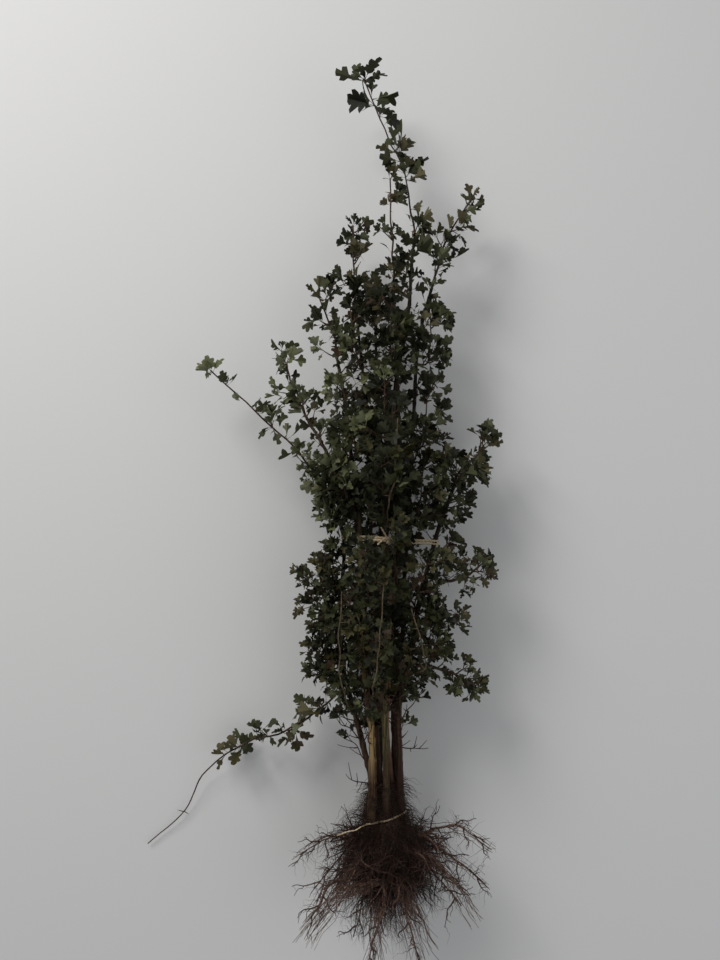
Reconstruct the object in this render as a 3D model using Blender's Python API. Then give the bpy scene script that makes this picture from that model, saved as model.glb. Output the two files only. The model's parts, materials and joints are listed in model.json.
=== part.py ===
"""A bare-rooted hawthorn of several stems, lifted for planting and laid down on level ground.

Frame: +Y runs along the stems towards the crown, +X to the right of one who looks down on
the plant with the crown away from them, and +Z up. The ground is the plane that the
underside of the crown and the roots lie on. Heights along the plant (Y) are counted from
the level that its roots spread at, and the whole is moved at the end so that the middle of
its box is over the origin. Metres.
"""

import math
import random
from collections import namedtuple

import bmesh
import bpy
from mathutils import Matrix, Vector
from mathutils.bvhtree import BVHTree

# ---- driving sizes ----------------------------------------------------------------------
GROUND = -0.105         # Z of the ground, below the axis of the bundle
GAP = 0.00035           # clearance between pieces that touch
STEP_OUT = 0.0002       # a foot is moved out from its limb by this until it is clear
STEPS_OUT = 100         # at most

COLLAR = 0.150          # height of the collar, where the stems leave the root crown
COLLAR_R = 0.033        # radius of the root crown at the collar
ROOT_CROWN_R = 0.044    # radius of the root crown at its widest
NECK, BELLY, FOOT = 0.112, 0.080, 0.026   # heights of its neck, its widest place and its foot
CROWN_HEIGHTS = [COLLAR, NECK, 0.098, 0.086, 0.074, 0.060, 0.046, 0.035, 0.029]
CROWN_SIDES = 18
FLUTES = 6              # hollows down the root crown, between the roots
FLUTE = 0.12            # their depth, as a share of its radius
FLUTES_START, FLUTES_FULL = 0.110, 0.070   # heights that they begin at and are full from

STEM_SIDES = 6
STEM_RISE = 0.030       # a stem rises straight from the collar this far
BOUGH_SIDES, BOUGH_POINTS = 5, 6
BOUGH_KNEE = 0.004      # a bough leaves its stem square for this far
ROOT_SIDES, ROOT_POINTS = 5, 8
ROOT_KNEE = 0.012
ROOT_FALL = 0.3         # how steeply a root leaves the root crown
ROOT_TIP_R = 0.0009

TIE_HEIGHT = 0.557      # height of the upper tie
TIE_WIDTH = 0.009       # the twine goes round twice there
TIE_SLACK = 0.0011      # from the bark to the inside of the twine
TWINE = 0.0028          # thickness of the twine
LOWER_TIE_HEIGHT = 0.129
LOWER_TIE_SLANT = 0.24  # rise to the right, for each metre across
LOWER_TIE_SLACK = 0.0006

LEAF = 0.044            # length of a leaf: each stands for a small spray
LEAF_SIZES = (0.85, 1.1)   # shortest and longest, as shares of it
LEAF_WIDEST = 0.64      # where a leaf is widest, as a share of its length
LEAF_HALF_WIDTH = 0.45  # as a share of a leaf's length
LEAF_THICK = 0.04       # thickness of a leaf along its middle, as a share of its length
LEAF_SUNK = 0.0008      # how far a leaf's foot is sunk into its twig
LAID_DOWN = 0.020       # leaves whose tips are this near the ground lie flat

SHOOT_R, SHOOT_TIP_R = 0.0021, 0.0011   # a mass's own stem, where it leaves the side of a limb, and its tip
ROOT_MASS_R = 0.0030    # the same of a mass of roots
SHOOT_LEAN = 0.55       # how far a shoot leans up its limb
LONG_SHOOT = 0.17       # a shoot that reaches further than this has more points
TWIG_SIDES = 3
TWIG_R, TWIG_TIP_R = 0.0016, 0.0009
LEAF_LIFT = Vector((0, 0.22, 0.02))     # how a leafy twig bends as it grows, each step
ROOT_DROOP = Vector((0, -0.16, -0.02))  # the same of a fine root
GOLDEN = math.radians(137.5)

UP = Vector((0, 1, 0))  # the way the plant grew

Limb = namedtuple("Limb", "points radii sides foot_axis")
Foot = namedtuple("Foot", "point side out radius")   # side: the way the wall there faces
Mass = namedtuple("Mass", "name host foot path spread twigs leaves leafy", defaults=[(0.2, 0.99)])


# ---- curves and tubes -------------------------------------------------------------------
def spline(controls, count):
    """count points on a Catmull-Rom curve through the controls."""
    c = [Vector(p) for p in controls]
    c = [c[0] * 2 - c[1], *c, c[-1] * 2 - c[-2]]
    points = []
    for k in range(count):
        s = k / (count - 1) * (len(c) - 3)
        i = min(int(s), len(c) - 4)
        t = s - i
        a, b, d, e = c[i : i + 4]
        points.append(
            0.5 * (2 * b + (d - a) * t + (2 * a - 5 * b + 4 * d - e) * t**2
                   + (3 * b - a - 3 * d + e) * t**3)
        )
    return points


def taper(foot, tip, count, power=0.8):
    return [foot + (tip - foot) * (k / (count - 1)) ** power for k in range(count)]


def direction(points, i):
    return (points[min(i + 1, len(points) - 1)] - points[max(i - 1, 0)]).normalized()


def across(axis, towards):
    """The part of a direction that is square to the axis, at unit length."""
    side = towards - axis * towards.dot(axis)
    if side.length < 1e-6:
        side = axis.orthogonal()
    return side.normalized()


def laid_down(p, r=0.0):
    """A point pressed up to the ground if it would lie below it."""
    return Vector((p.x, p.y, max(p.z, GROUND + r)))


def tube_mesh(points, radii, sides, foot_axis=None, grow=0.0):
    """Vertices and faces of one closed tapering limb, its foot square to foot_axis."""
    verts, faces = [], []
    side = across(direction(points, 0), Vector((0.3, 0, 1)))
    for i, (p, r) in enumerate(zip(points, radii)):
        axis = foot_axis if foot_axis and i == 0 else direction(points, i)
        side = across(axis, side)
        other = axis.cross(side)
        for k in range(sides):
            a = 2 * math.pi * k / sides
            verts.append(p + (side * math.cos(a) + other * math.sin(a)) * (r + grow))
    for i in range(len(points) - 1):
        for k in range(sides):
            a, b = i * sides + k, i * sides + (k + 1) % sides
            faces.append((a, b, b + sides, a + sides))
    faces.append(tuple(reversed(range(sides))))
    faces.append(tuple(range(len(verts) - sides, len(verts))))
    return verts, faces


def leaf_mesh(foot, along, normal, length):
    """A leaf: a wedge from its foot to its lobes and on to its tip, raised along the middle."""
    breadth = normal.cross(along)
    outline = [(0, 0), (LEAF_WIDEST, LEAF_HALF_WIDTH), (1, 0), (LEAF_WIDEST, -LEAF_HALF_WIDTH)]
    verts = [foot + (along * x + breadth * y) * length for x, y in outline]
    verts.append(foot + (along * 0.5 + normal * LEAF_THICK) * length)
    return verts, [(0, 4, 1), (1, 4, 2), (2, 4, 3), (3, 4, 0), (0, 1, 2, 3)]


def end_in_leaf(twig, axis, length):
    """Draws out the flat end of a three-sided twig into a leaf; returns the leaf's normal."""
    verts, faces = twig
    end = list(range(len(verts) - 3, len(verts)))
    middle = sum((verts[i] for i in end), Vector()) / 3
    top = max(end, key=lambda i: verts[i].z)
    normal = across(axis, verts[top] - middle)
    breadth = normal.cross(axis)
    left, right = sorted((i for i in end if i != top), key=lambda i: -verts[i].dot(breadth))
    n = len(verts)
    for x, y in ((LEAF_WIDEST, LEAF_HALF_WIDTH), (1, 0), (LEAF_WIDEST, -LEAF_HALF_WIDTH)):
        verts.append(laid_down(middle + (axis * x + breadth * y) * length, GAP))
    faces.pop()
    faces += [(top, left, n), (top, n, n + 1), (top, n + 1, n + 2), (top, n + 2, right)]
    faces += [(left, right, n + 2), (left, n + 2, n + 1), (left, n + 1, n)]
    return normal


def tree_of(meshes):
    verts, faces = [], []
    for v, f in meshes:
        faces += [tuple(i + len(verts) for i in face) for face in f]
        verts += v
    return BVHTree.FromPolygons(verts, faces)


def clear_of(mesh, *trees):
    own = BVHTree.FromPolygons(*mesh)
    return not any(tree.overlap(own) for tree in trees)


def swollen_leaf(mesh, normal):
    """A leaf with a clearance over and under it, for tests only."""
    verts, faces = mesh
    n = len(verts)
    return ([v + normal * s for s in (-GAP, 0, GAP) for v in verts],
            [tuple(i + n * k for i in face) for k in range(3) for face in faces])


# ---- objects ----------------------------------------------------------------------------
def material(name, colour, roughness):
    made = bpy.data.materials.new(name)
    made.use_nodes = True
    shader = made.node_tree.nodes["Principled BSDF"]
    shader.inputs["Base Color"].default_value = (*colour, 1)
    shader.inputs["Roughness"].default_value = roughness
    shader.inputs["Metallic"].default_value = 0.0
    return made


def mesh_object(name, verts, faces, finish, place=None):
    mesh = bpy.data.meshes.new(name)
    mesh.from_pydata([tuple(v) for v in verts], [], faces)
    mesh.materials.append(finish)
    obj = bpy.data.objects.new(name, mesh)
    (place or bpy.context.scene.collection).objects.link(obj)
    bm = bmesh.new()
    bm.from_mesh(mesh)
    bmesh.ops.recalc_face_normals(bm, faces=bm.faces)
    bm.to_mesh(mesh)
    bm.free()
    return obj


def keep_the_body(mesh):
    """Drops loose scraps and the walls of sealed hollows that fusing leaves."""
    bm = bmesh.new()
    bm.from_mesh(mesh)
    bmesh.ops.triangulate(bm, faces=bm.faces)
    left, shells = set(bm.faces), []
    while left:
        shell, edge_of_walk = set(), [left.pop()]
        while edge_of_walk:
            face = edge_of_walk.pop()
            shell.add(face)
            for near in {f for e in face.edges for f in e.link_faces} & left:
                left.discard(near)
                edge_of_walk.append(near)
        shells.append(shell)
    body = max(shells, key=len)
    bmesh.ops.delete(bm, geom=[f for f in bm.faces if f not in body], context="FACES")
    bm.to_mesh(mesh)
    bm.free()


def fuse(name, meshes, finish):
    """One closed body from the first mesh and those that are sunk into it."""
    body = mesh_object(name, *meshes[0], finish)
    if len(meshes) == 1:
        return body
    pieces = bpy.data.collections.new(name + "_pieces")
    bpy.context.scene.collection.children.link(pieces)
    for i, (verts, faces) in enumerate(meshes[1:]):
        mesh_object(f"{name}_piece_{i}", verts, faces, finish, pieces)
    join = body.modifiers.new("fuse", "BOOLEAN")
    join.operation = "UNION"
    join.operand_type = "COLLECTION"
    join.solver = "MANIFOLD"
    join.collection = pieces
    graph = bpy.context.evaluated_depsgraph_get()
    fused = bpy.data.meshes.new_from_object(body.evaluated_get(graph))
    body.modifiers.clear()
    body.data = fused
    for piece in list(pieces.objects):
        bpy.data.objects.remove(piece)
    bpy.data.collections.remove(pieces)
    keep_the_body(fused)
    return body


# ---- the limbs --------------------------------------------------------------------------
# Each stem: its foot on the collar (X, Z), the points that it passes, its radius at the
# foot and at the tip. Stems 1 and 8 bow out to the left and the right.
STEMS = {
    "stem_1": ((-0.024, -0.012), [(-0.050, 0.285, -0.016), (-0.074, 0.400, -0.010),
               (-0.066, 0.557, -0.010), (-0.104, 0.645, -0.004)], 0.0056, 0.0026),
    "stem_2": ((-0.021, 0.010), [(-0.026, 0.290, 0.012), (-0.040, 0.420, 0.022),
               (-0.040, 0.557, 0.016), (-0.056, 0.720, 0.014), (-0.080, 0.865, 0.006)],
               0.0072, 0.0022),
    "stem_3": ((-0.010, -0.005), [(-0.020, 0.290, -0.008), (-0.034, 0.420, -0.014),
               (-0.024, 0.557, -0.008), (-0.028, 0.740, -0.006), (-0.046, 0.930, -0.006)],
               0.0046, 0.0022),
    "stem_4": ((-0.007, -0.021), [(-0.010, 0.290, -0.026), (-0.014, 0.420, -0.044),
               (-0.006, 0.557, -0.028), (-0.008, 0.740, -0.030), (-0.014, 0.900, -0.034)],
               0.0048, 0.0022),
    "stem_5": ((0.001, 0.013), [(-0.002, 0.290, 0.020), (0.002, 0.420, 0.036),
               (0.000, 0.557, 0.022), (0.014, 0.760, 0.020), (0.038, 0.930, 0.010),
               (0.047, 1.030, 0.004)], 0.0058, 0.0026),
    "stem_6": ((0.008, -0.003), [(0.003, 0.290, 0.001), (0.010, 0.420, -0.002),
               (0.020, 0.557, -0.002), (0.022, 0.760, -0.006), (0.016, 0.960, 0.004)],
               0.0050, 0.0022),
    "stem_7": ((0.016, -0.018), [(0.014, 0.290, -0.018), (0.030, 0.420, -0.032),
               (0.036, 0.557, -0.022), (0.046, 0.740, -0.018), (0.060, 0.897, -0.006),
               (0.082, 0.985, 0.000)], 0.0050, 0.0024),
    "stem_8": ((0.023, 0.002), [(0.021, 0.300, 0.006), (0.046, 0.420, 0.008),
               (0.082, 0.557, 0.002), (0.112, 0.645, 0.004)], 0.0056, 0.0028),
}

# Each bough: the stem and the height that it leaves it at, the points that it passes,
# its radius at the foot and at the tip.
BOUGHS = {
    "bough_left": ("stem_2", 0.590, [(-0.092, 0.690, 0.032), (-0.128, 0.755, 0.028)], 0.0030, 0.0022),
    "bough_right_mid": ("stem_8", 0.500, [(0.098, 0.492, 0.016), (0.122, 0.497, 0.018)], 0.0028, 0.0022),
    "bough_right_low": ("stem_8", 0.345, [(0.058, 0.362, 0.016), (0.096, 0.350, 0.012)], 0.0028, 0.0022),
}

# Each main root: the way round the root crown that it leaves (degrees from +X, towards
# +Z), the height that it leaves at, the points that it passes and its radius at the foot.
ROOTS = {
    "root_left": (172, 0.106, [(-0.085, 0.092, -0.010), (-0.136, 0.062, -0.022)], 0.0026),
    "root_right_long": (12, 0.106, [(0.100, 0.118, 0.014), (0.160, 0.086, 0.022)], 0.0026),
    "root_right_thick": (38, 0.092, [(0.072, 0.082, 0.046), (0.112, 0.036, 0.060)], 0.0046),
    "root_right_outer": (345, 0.092, [(0.095, 0.072, -0.006), (0.156, 0.024, 0.006)], 0.0040),
    "root_left_arch": (138, 0.076, [(-0.060, 0.060, 0.046), (-0.096, 0.030, 0.060),
                                    (-0.118, 0.000, 0.062)], 0.0046),
    "root_front": (98, 0.060, [(-0.008, 0.020, 0.072), (-0.034, -0.054, 0.098)], 0.0042),
    "root_front_right": (68, 0.060, [(0.026, 0.028, 0.070), (0.044, -0.046, 0.098)], 0.0042),
    "root_back_left": (222, 0.072, [(-0.060, 0.034, -0.062), (-0.086, -0.030, -0.096)], 0.0042),
    "root_back_right": (305, 0.068, [(0.046, 0.024, -0.066), (0.070, -0.040, -0.098)], 0.0042),
}


def stem_limb(name):
    (x, z), rest, r_foot, r_tip = STEMS[name]
    foot = Vector((x, COLLAR + GAP, z))
    controls = [foot, foot + UP * STEM_RISE, *rest]
    count = 2 * len(controls) - 1
    return Limb(spline(controls, count), taper(r_foot, r_tip, count), STEM_SIDES, UP)


def at_height(points, radii, y):
    """The point, the heading and the radius of a limb at a height."""
    i = next(k for k in range(len(points) - 1) if points[k + 1].y >= y)
    t = max(0.0, (y - points[i].y) / (points[i + 1].y - points[i].y))
    return points[i].lerp(points[i + 1], t), (points[i + 1] - points[i]).normalized(), radii[i]


def foot_on_limb(limb, y, towards, lean):
    """Where a twig leaves the side of a limb at a height, towards a point, leaning up it."""
    point, axis, r = at_height(limb.points, limb.radii, y)
    side = across(axis, Vector(towards) - point)
    return Foot(point + side * r, side, (side + axis * lean).normalized(), r)


def seated(foot, grow, fits):
    """What grows from a foot, moved out from its limb until it is clear of everything."""
    for k in range(STEPS_OUT):
        grown = grow(foot.point + foot.side * (GAP + k * STEP_OUT))
        if fits(grown):
            return grown
    raise ValueError(f"nothing fits at {foot.point}")


def bough_limb(name, stems):
    host, height, rest, r_foot, r_tip = BOUGHS[name]
    foot = foot_on_limb(stems[host], height, rest[0], 0)
    wall = BVHTree.FromPolygons(*tube_mesh(*stems[host], GAP))

    def grow(start):
        points = spline([start, start + foot.out * BOUGH_KNEE, *rest], BOUGH_POINTS)
        return Limb(points, taper(r_foot, r_tip, BOUGH_POINTS), BOUGH_SIDES, foot.side)

    return seated(foot, grow, lambda limb: clear_of(tube_mesh(*limb), wall))


def root_crown_radius(y):
    """Radius of the root crown: a neck at the lower tie, a belly, and a blunt foot."""
    if y > NECK:
        return COLLAR_R
    if y > BELLY:
        s = (NECK - y) / (NECK - BELLY)
        return COLLAR_R + (ROOT_CROWN_R - COLLAR_R) * (3 * s**2 - 2 * s**3)
    s = (BELLY - y) / (BELLY - FOOT)
    return ROOT_CROWN_R * math.sqrt(max(0.0, 1 - s**2))


def root_crown(finish):
    """The stock that all the stems and roots spring from, fluted where roots leave it."""
    verts, faces = [], []
    for y in CROWN_HEIGHTS:
        share = (FLUTES_START - y) / (FLUTES_START - FLUTES_FULL)
        depth = FLUTE * min(1.0, max(0.0, share))
        for k in range(CROWN_SIDES):
            a = 2 * math.pi * k / CROWN_SIDES
            r = root_crown_radius(y) * (1 + depth * math.cos(FLUTES * a) - depth)
            verts.append(Vector((r * math.cos(a), y, r * math.sin(a))))
    for i in range(len(CROWN_HEIGHTS) - 1):
        for k in range(CROWN_SIDES):
            a, b = i * CROWN_SIDES + k, i * CROWN_SIDES + (k + 1) % CROWN_SIDES
            faces += [(a, b, b + CROWN_SIDES), (a, b + CROWN_SIDES, a + CROWN_SIDES)]
    faces.append(tuple(range(CROWN_SIDES)))
    faces.append(tuple(range(len(verts) - CROWN_SIDES, len(verts))))
    return mesh_object("root_crown", verts, faces, finish)


def foot_on_crown(turn, height, wall):
    """Where a root leaves the root crown, at a way round it and a height."""
    a = math.radians(turn)
    ray = Vector((math.cos(a), 0, math.sin(a)))
    point, normal, _, _ = wall.ray_cast(ray * 0.2 + UP * height, -ray)
    return Foot(point, normal, (normal - UP * ROOT_FALL).normalized(), ROOT_MASS_R)


def root_limb(name, wall):
    turn, height, rest, r_foot = ROOTS[name]
    foot = foot_on_crown(turn, height, wall)

    def grow(start):
        points = spline([start, start + foot.out * ROOT_KNEE, *rest], ROOT_POINTS)
        points = [laid_down(p, r_foot) for p in points]
        return Limb(points, taper(r_foot, ROOT_TIP_R, ROOT_POINTS, 0.9), ROOT_SIDES, foot.side)

    return seated(foot, grow, lambda limb: clear_of(tube_mesh(*limb), wall))


# ---- the ties ---------------------------------------------------------------------------
def hull_2d(points):
    """The convex outline round (x, z) points, anticlockwise."""
    points = sorted(set(points))

    def chain(given):
        out = []
        for p in given:
            while len(out) > 1 and (
                (out[-1][0] - out[-2][0]) * (p[1] - out[-2][1])
                - (out[-1][1] - out[-2][1]) * (p[0] - out[-2][0]) <= 0
            ):
                out.pop()
            out.append(p)
        return out[:-1]

    return chain(points) + chain(reversed(points))


def band(name, outline, width, finish):
    """A closed band of twine: its section is set square to the outline at each point."""
    section = [(0, -width / 2), (TWINE, -width / 2), (TWINE, width / 2), (0, width / 2)]
    count, n = len(outline), len(section)
    middle = sum(outline, Vector()) / count
    verts, faces = [], []
    for p in outline:
        out = p - middle
        out.y = 0
        out.normalize()
        verts += [p + out * u + UP * v for u, v in section]
    for i in range(count):
        j = (i + 1) % count
        for k in range(n):
            m = (k + 1) % n
            faces.append((i * n + k, i * n + m, j * n + m, j * n + k))
    return mesh_object(name, verts, faces, finish)


def upper_tie_outline(limbs):
    """The twine's way round every stem at the height of the tie."""
    dots = []
    for limb in limbs:
        for height in (TIE_HEIGHT - TIE_WIDTH / 2, TIE_HEIGHT, TIE_HEIGHT + TIE_WIDTH / 2):
            for p, q, r in zip(limb.points, limb.points[1:], limb.radii):
                if p.y <= height < q.y:
                    c = p.lerp(q, (height - p.y) / (q.y - p.y))
                    reach = r * (q - p).length / (q.y - p.y) + TIE_SLACK
                    for k in range(12):
                        a = 2 * math.pi * k / 12
                        dots.append((c.x + reach * math.cos(a), c.z + reach * math.sin(a)))
    hull = [Vector((x, TIE_HEIGHT, z)) for x, z in hull_2d(dots)]
    return [p for i, p in enumerate(hull) if (p - hull[i - 1]).length > 0.002]


def lower_tie_outline():
    reach = COLLAR_R + LOWER_TIE_SLACK
    turns = [2 * math.pi * k / 20 for k in range(20)]
    return [Vector((reach * math.cos(a), LOWER_TIE_HEIGHT + LOWER_TIE_SLANT * reach * math.cos(a),
                    reach * math.sin(a))) for a in turns]


# ---- the foliage and the root masses ----------------------------------------------------
# Each mass: the limb that it grows from, the height of its foot on that limb (or None for
# the limb's tip), the points that its own stem passes, how far its twigs spread, how many
# twigs and leaves it has, and the share of its stem that carries them.
MASSES = [
    Mass("leaves_low_left", "stem_1", 0.335, [(-0.100, 0.420, 0.006)], 0.048, 5, 11),
    Mass("leaves_low_front", "stem_2", 0.330, [(-0.022, 0.410, 0.092)], 0.052, 5, 12),
    Mass("leaves_low_right", "stem_8", 0.372, [(0.078, 0.425, 0.028)], 0.046, 5, 11),
    Mass("leaves_low_back", "stem_4", 0.340, [(-0.010, 0.415, -0.090)], 0.054, 5, 10),
    Mass("leaves_mid_left", "stem_1", 0.430, [(-0.108, 0.515, 0.006)], 0.050, 5, 12),
    Mass("leaves_mid_front", "stem_2", 0.430, [(-0.022, 0.525, 0.106)], 0.056, 6, 14),
    Mass("leaves_mid_right", "stem_7", 0.430, [(0.066, 0.525, 0.054)], 0.048, 5, 11),
    Mass("leaves_mid_back", "stem_4", 0.440, [(0.004, 0.525, -0.092)], 0.056, 6, 11),
    Mass("leaves_waist_left", "stem_1", 0.590, [(-0.086, 0.668, 0.026)], 0.042, 5, 12),
    Mass("leaves_waist_front", "stem_5", 0.585, [(-0.008, 0.672, 0.084)], 0.046, 5, 11),
    Mass("leaves_waist_right", "stem_7", 0.590, [(0.062, 0.675, 0.018)], 0.042, 5, 11),
    Mass("leaves_waist_back", "stem_4", 0.590, [(0.004, 0.672, -0.080)], 0.048, 5, 10),
    Mass("leaves_upper_left", "stem_2", 0.690, [(-0.072, 0.800, 0.028)], 0.040, 5, 11),
    Mass("leaves_upper_front", "stem_5", 0.700, [(-0.002, 0.805, 0.066)], 0.044, 5, 11),
    Mass("leaves_upper_right", "stem_7", 0.705, [(0.070, 0.805, 0.004)], 0.040, 5, 10),
    Mass("leaves_upper_back", "stem_4", 0.705, [(-0.006, 0.800, -0.068)], 0.044, 5, 10),
    Mass("leaves_high_left", "stem_3", 0.840, [(-0.056, 0.935, 0.018)], 0.034, 4, 10),
    Mass("leaves_high_front", "stem_5", 0.835, [(0.010, 0.930, 0.050)], 0.038, 5, 10),
    Mass("leaves_high_right", "stem_7", 0.850, [(0.076, 0.925, 0.004)], 0.030, 4, 9),
    Mass("leaves_high_back", "stem_4", None, [(-0.008, 0.985, -0.042)], 0.038, 5, 9),
    Mass("leaves_tip_left", "stem_2", None, [(-0.110, 0.962, 0.002)], 0.026, 4, 9),
    Mass("leaves_tip_mid_left", "stem_3", None, [(-0.052, 1.082, -0.004)], 0.034, 5, 11),
    Mass("leaves_tip_centre", "stem_6", None, [(0.010, 1.160, 0.006)], 0.030, 5, 12),
    Mass("leaves_tip_right", "stem_7", None, [(0.106, 1.060, 0.000), (0.148, 1.130, 0.000)],
         0.026, 5, 11),
    Mass("leaves_leader_low", "stem_5", None, [(0.036, 1.165, 0.002)], 0.032, 5, 11),
    Mass("leaves_leader_top", "leaves_leader_low", None,
         [(0.010, 1.225, 0.002), (-0.034, 1.340, 0.000)], 0.024, 5, 12),
    Mass("leaves_left_long", "stem_1", None, [(-0.158, 0.716, 0.000), (-0.286, 0.834, 0.000)],
         0.024, 5, 12),
    Mass("leaves_left_second", "bough_left", None, [(-0.168, 0.862, 0.020)], 0.024, 4, 10),
    Mass("leaves_right_bough", "stem_8", None, [(0.154, 0.704, 0.006)], 0.044, 6, 12),
    Mass("leaves_right_mid", "bough_right_mid", None, [(0.152, 0.518, 0.014)], 0.038, 5, 11),
    Mass("leaves_right_low", "bough_right_low", None, [(0.142, 0.328, 0.006)], 0.036, 5, 11),
    Mass("leaves_right_inner", "stem_8", 0.425, [(0.112, 0.440, 0.014)], 0.036, 4, 7),
    Mass("leaves_low_shoot", "stem_1", 0.318, [(-0.094, 0.296, -0.022), (-0.152, 0.252, -0.036),
         (-0.235, 0.222, -0.056), (-0.306, 0.165, -0.084), (-0.332, 0.107, -0.094),
         (-0.396, 0.050, -0.098)], 0.018, 5, 11, (0.26, 0.62)),
]

# Root masses: finer roots that branch as twigs do, with no leaves. Each leaves the root
# crown at a way round (degrees from +X, towards +Z) and a height.
ROOT_MASSES = [
    Mass("fine_roots_left", 190, 0.088, [(-0.112, 0.014, -0.014)], 0.070, 9, 0),
    Mass("fine_roots_right", 358, 0.070, [(0.112, 0.008, 0.030)], 0.070, 9, 0),
    Mass("fine_roots_front", 116, 0.070, [(-0.050, -0.010, 0.084)], 0.066, 9, 0),
    Mass("fine_roots_back", 262, 0.066, [(-0.010, -0.014, -0.092)], 0.066, 9, 0),
]


def twig_path(foot, out, length, lift, count):
    """A twig that leaves its foot outwards and bends towards the way the plant grew."""
    points = [foot]
    step = length / (count - 1)
    heading = out.copy()
    for _ in range(count - 1):
        points.append(laid_down(points[-1] + heading * step, TWIG_R))
        heading = (heading + lift).normalized()
    return points


class Growth:
    """The twigs and leaves of one mass, clear of the limbs and of every other mass."""

    def __init__(self, mass, lift, obstacles):
        self.mass, self.lift, self.obstacles = mass, lift, obstacles
        self.draw = random.Random(mass.name)                    # for the twigs
        self.leaf_draw = random.Random(mass.name + " leaves")
        self.twigs, self.leaves, self.swollen = [], [], []

    def fits(self, mesh):
        if min(v.z for v in mesh[0]) < GROUND:
            return False
        return clear_of(mesh, *(t for name, t in self.obstacles.items() if name != self.mass.name))

    def stem(self, start, foot, r_foot):
        """The mass's own stem, from its limb through its points to its tip."""
        path = self.mass.path
        near = start + foot.out * 0.25 * (Vector(path[0]) - start).length
        count = 5 if (Vector(path[-1]) - start).length < LONG_SHOOT else 8
        points = spline([start, near, *path], count)
        points = points[:1] + [laid_down(p, TWIG_R) for p in points[1:]]
        self.limb = Limb(points, taper(r_foot, SHOOT_TIP_R, count, 0.9), TWIG_SIDES, foot.side)
        self.twigs = [tube_mesh(*self.limb)]
        self.swollen = [tube_mesh(*self.limb, GAP)]
        return self

    def stem_fits(self):
        return self.fits(self.twigs[0])

    def side_twigs(self):
        mass, draw = self.mass, self.draw
        first, last = mass.leafy
        self.paths = [(self.limb.points, first, last)]
        for k in range(mass.twigs):
            t = first + (last - first) * (k + 0.4) / mass.twigs
            foot, axis = on_path(self.limb.points, t)
            side = turned(axis, GOLDEN * k + draw.uniform(-0.4, 0.4))
            angle = math.radians(draw.uniform(48, 68))
            out = axis * math.cos(angle) + side * math.sin(angle)
            reach = mass.spread * draw.uniform(0.75, 1.05) * (1.15 - 0.55 * t)
            r = TWIG_R * (1.1 - 0.3 * t)
            for share in (1.0, 0.75, 0.5):
                points = twig_path(foot, out, reach * share, self.lift, 3)
                mesh, swollen = self.twig(points, r)
                if self.fits(mesh):
                    self.twigs.append(mesh)
                    self.swollen += swollen
                    self.paths.append((points, 0.25, 0.75))
                    break

    def twig(self, points, r):
        """A side twig, which ends in a leaf if the mass has leaves, and its test meshes."""
        limb = Limb(points, taper(r, TWIG_TIP_R, len(points), 1.0), TWIG_SIDES, None)
        mesh = tube_mesh(*limb)
        swollen = [tube_mesh(*limb, GAP)]
        if self.mass.leaves:
            axis = direction(points, len(points) - 1)
            normal = end_in_leaf(mesh, axis, LEAF * self.leaf_draw.uniform(*LEAF_SIZES))
            swollen.append(swollen_leaf(mesh, normal))
        return mesh, swollen

    def dress(self):
        """Leaves dealt out along every twig by its length, with one at the stem's tip."""
        draw, wanted = self.leaf_draw, self.mass.leaves - len(self.twigs) + 1
        spans = [(last - first) * length_of(path) for path, first, last in self.paths]
        for (path, first, last), span in zip(self.paths, spans):
            count = max(1, round(wanted * span / sum(spans)))
            for k in range(count):
                t = last - (last - first) * k / count
                foot, axis = on_path(path, t)
                for _ in range(6):
                    side = turned(axis, GOLDEN * k + draw.uniform(0, 2 * math.pi))
                    angle = math.radians(draw.uniform(8, 25) if t > 0.97 else draw.uniform(40, 70))
                    along = axis * math.cos(angle) + side * math.sin(angle)
                    mesh, normal = self.leaf(foot, along, LEAF * draw.uniform(*LEAF_SIZES))
                    if self.fits(mesh):
                        self.leaves.append(mesh)
                        self.swollen.append(swollen_leaf(mesh, normal))
                        break

    def leaf(self, foot, along, size):
        """A leaf whose foot is sunk into its twig, and the way that its upper side faces."""
        foot = foot - along * LEAF_SUNK
        tip = laid_down(foot + along * size, GAP)
        along = (tip - foot).normalized()
        if tip.z < GROUND + LAID_DOWN:
            normal = across(along, Vector((0, 0, 1)))
        else:
            normal = across(along, self.lift + Vector((0, 0.2, 0.6)))
            normal = Matrix.Rotation(self.leaf_draw.uniform(-0.8, 0.8), 3, along) @ normal
        return leaf_mesh(foot, along, normal, (tip - foot).length), normal


def length_of(points):
    return sum((q - p).length for p, q in zip(points, points[1:]))


def on_path(points, t):
    """The point and the heading a share t along a path."""
    s = t * (len(points) - 1)
    i = min(int(s), len(points) - 2)
    return points[i].lerp(points[i + 1], s - i), (points[i + 1] - points[i]).normalized()


def turned(axis, turn):
    return Matrix.Rotation(turn, 3, axis) @ across(axis, Vector((0, 0, 1)))


def foot_of(mass, limbs):
    """Where a mass of leaves leaves its limb: partway up it, or at its tip."""
    limb = limbs[mass.host]
    if mass.foot is not None:
        return foot_on_limb(limb, mass.foot, mass.path[0], SHOOT_LEAN)._replace(radius=SHOOT_R)
    axis = direction(limb.points, len(limb.points) - 1)
    return Foot(limb.points[-1], axis, axis, limb.radii[-1] * 0.95)


def start_mass(mass, foot, lift, obstacles):
    growth = Growth(mass, lift, obstacles)
    seated(foot, lambda start: growth.stem(start, foot, foot.radius), Growth.stem_fits)
    obstacles[mass.name] = tree_of(growth.swollen)
    return growth


# ---- the plant --------------------------------------------------------------------------
for old in list(bpy.data.objects):
    bpy.data.objects.remove(old)

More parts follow.
